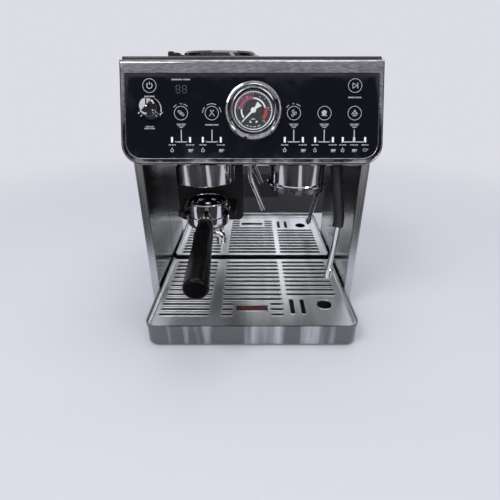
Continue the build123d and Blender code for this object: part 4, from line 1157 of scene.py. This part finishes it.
class ESPRESSO_OT_studio(bpy.types.Operator):
    """Build the floor, the lights and the camera"""
    bl_idname = "espresso.studio"
    bl_label = "Studio"

    def execute(self, context):
        studio = settings()[2]
        pale = self.floor_finish(studio.floor)
        self.card("floor", Matrix.Translation((0, 0, -FLOOR_DROP)), FLOOR_SIZE, pale)
        cloth = Finish("flag_cloth", (0.004, 0.004, 0.005), 0.9)
        for name, (place, target, size) in STANDING_FLAGS.items():
            self.flag(name, self.facing(place, target), size, cloth)
        for name, (place, size) in FLOOR_FLAGS.items():
            self.flag(name, Matrix.Translation(place), size, cloth)
        for name, values in LAMPS.items():
            self.lamp(name, *values)
        self.world(studio.floor)
        self.camera(studio)
        context.scene.view_settings.view_transform = "Standard"
        return {"FINISHED"}

    def floor_finish(self, pale):
        """Pale floor that takes the machine's shadow and fades into the backdrop's colour far away."""
        finish = Finish("pale_floor", times(pale, NEAR_FLOOR), 0.8)
        tree = finish.tree
        place = node(tree, "ShaderNodeTexCoord")["Object"]
        distance = node(tree, "ShaderNodeVectorMath", {0: place}, operation="LENGTH")["Value"]
        near, far = FLOOR_FADE
        fade = node(tree, "ShaderNodeMapRange", {
            "Value": distance, "From Min": near, "From Max": far}, interpolation_type="SMOOTHSTEP")
        glow = node(tree, "ShaderNodeEmission", {"Color": (*pale, 1.0)})
        mix = node(tree, "ShaderNodeMixShader", {
            "Fac": fade["Result"], 1: finish.shader.outputs["BSDF"], 2: glow["Emission"]})
        tree.links.new(mix["Shader"], tree.nodes["Material Output"].inputs["Surface"])
        return finish

    def facing(self, place, target):
        """Matrix of a card at a place, turned to a point."""
        turn = (Vector(target) - Vector(place)).to_track_quat("Z", "Y")
        return Matrix.Translation(place) @ turn.to_matrix().to_4x4()

    def card(self, name, place, size, finish):
        """Flat stage card."""
        bm = bmesh.new()
        bmesh.ops.create_grid(
            bm, x_segments=1, y_segments=1, size=0.5, matrix=place @ Matrix.Diagonal((*size, 1, 1)))
        mesh = bpy.data.meshes.new(name)
        bm.to_mesh(mesh)
        bm.free()
        card = bpy.data.objects.new(name, mesh)
        card.data.materials.append(finish.material)
        bpy.context.scene.collection.objects.link(card)
        return card

    def flag(self, name, place, size, finish):
        """Dark card that only shows in reflections, to give polished metal its contrast."""
        card = self.card(name, place, size, finish)
        card.visible_camera = False
        card.visible_diffuse = False
        card.visible_transmission = False
        card.visible_shadow = False

    def lamp(self, name, place, target, size, power):
        """Soft rectangular lamp aimed at a point."""
        data = bpy.data.lights.new(name, "AREA")
        data.shape = "RECTANGLE"
        data.size, data.size_y = size
        data.energy = power
        lamp = bpy.data.objects.new(name, data)
        lamp.location = place
        lamp.rotation_euler = (Vector(target) - Vector(place)).to_track_quat("-Z", "Y").to_euler()
        bpy.context.scene.collection.objects.link(lamp)

    def world(self, pale):
        """Even studio light; the camera and mirrors see the pale backdrop."""
        world = bpy.data.worlds.new("studio_world")
        bpy.context.scene.world = world
        world.use_nodes = True
        tree = world.node_tree
        light = tree.nodes["Background"]
        light.inputs["Color"].default_value = WORLD_COLOR
        light.inputs["Strength"].default_value = WORLD_STRENGTH
        seen = node(tree, "ShaderNodeBackground", {"Color": (*pale, 1.0)})
        path = node(tree, "ShaderNodeLightPath")
        direct = path["Is Camera Ray"]
        for kind in ("Is Glossy Ray", "Is Transmission Ray"):
            direct = node(tree, "ShaderNodeMath", {0: direct, 1: path[kind]}, operation="MAXIMUM")["Value"]
        mix = node(tree, "ShaderNodeMixShader", {
            "Fac": direct, 1: light.outputs["Background"], 2: seen["Background"]})
        tree.links.new(mix["Shader"], tree.nodes["World Output"].inputs["Surface"])

    def camera(self, studio):
        """Camera in front of the machine, level with its top and pitched down."""
        data = bpy.data.cameras.new("camera")
        data.lens = studio.lens
        data.sensor_width = SENSOR_W
        data.shift_x = SHIFT_X
        camera = bpy.data.objects.new("camera", data)
        camera.location = (0, studio.camera_y, studio.camera_z)
        camera.rotation_euler = (pi / 2 - studio.pitch, 0, 0)
        bpy.context.scene.collection.objects.link(camera)
        bpy.context.scene.camera = camera


OPERATORS = [
    ESPRESSO_OT_finish_solids,
    ESPRESSO_OT_key_print,
    ESPRESSO_OT_panel_print,
    ESPRESSO_OT_glass_bead,
    ESPRESSO_OT_gauge_print,
    ESPRESSO_OT_basket_holes,
    ESPRESSO_OT_slot_lips,
    ESPRESSO_OT_cup_mat,
    ESPRESSO_OT_rear_screws,
    ESPRESSO_OT_tank_scale,
    ESPRESSO_OT_studio,
]


class ESPRESSO_PT_sidebar(bpy.types.Panel):
    """Buttons and settings of the espresso machine"""
    bl_idname = "ESPRESSO_PT_sidebar"
    bl_label = "Espresso machine"
    bl_space_type = "VIEW_3D"
    bl_region_type = "UI"
    bl_category = "Espresso"

    def draw(self, context):
        for operator in OPERATORS:
            self.layout.operator(operator.bl_idname)
        for group in settings():
            for name in group.bl_rna.properties.keys():
                if name not in ("rna_type", "name"):
                    self.layout.prop(group, name)


CLASSES = [MachineFinishes, PanelPrint, Studio, *OPERATORS, ESPRESSO_PT_sidebar]


def register():
    """Add the classes and the scene's settings."""
    for item in CLASSES:
        bpy.utils.register_class(item)
    bpy.types.Scene.espresso_finishes = PointerProperty(type=MachineFinishes)
    bpy.types.Scene.espresso_print = PointerProperty(type=PanelPrint)
    bpy.types.Scene.espresso_studio = PointerProperty(type=Studio)


def unregister():
    """Take the classes and the settings away again."""
    del bpy.types.Scene.espresso_finishes
    del bpy.types.Scene.espresso_print
    del bpy.types.Scene.espresso_studio
    for item in reversed(CLASSES):
        bpy.utils.unregister_class(item)


def main():
    """Build everything in order."""
    register()
    bpy.ops.espresso.finish_solids()
    bpy.ops.espresso.key_print()
    bpy.ops.espresso.panel_print()
    bpy.ops.espresso.glass_bead()
    bpy.ops.espresso.gauge_print()
    bpy.ops.espresso.basket_holes()
    bpy.ops.espresso.slot_lips()
    bpy.ops.espresso.cup_mat()
    bpy.ops.espresso.rear_screws()
    bpy.ops.espresso.tank_scale()
    bpy.ops.espresso.studio()


if __name__ == "__main__":
    main()
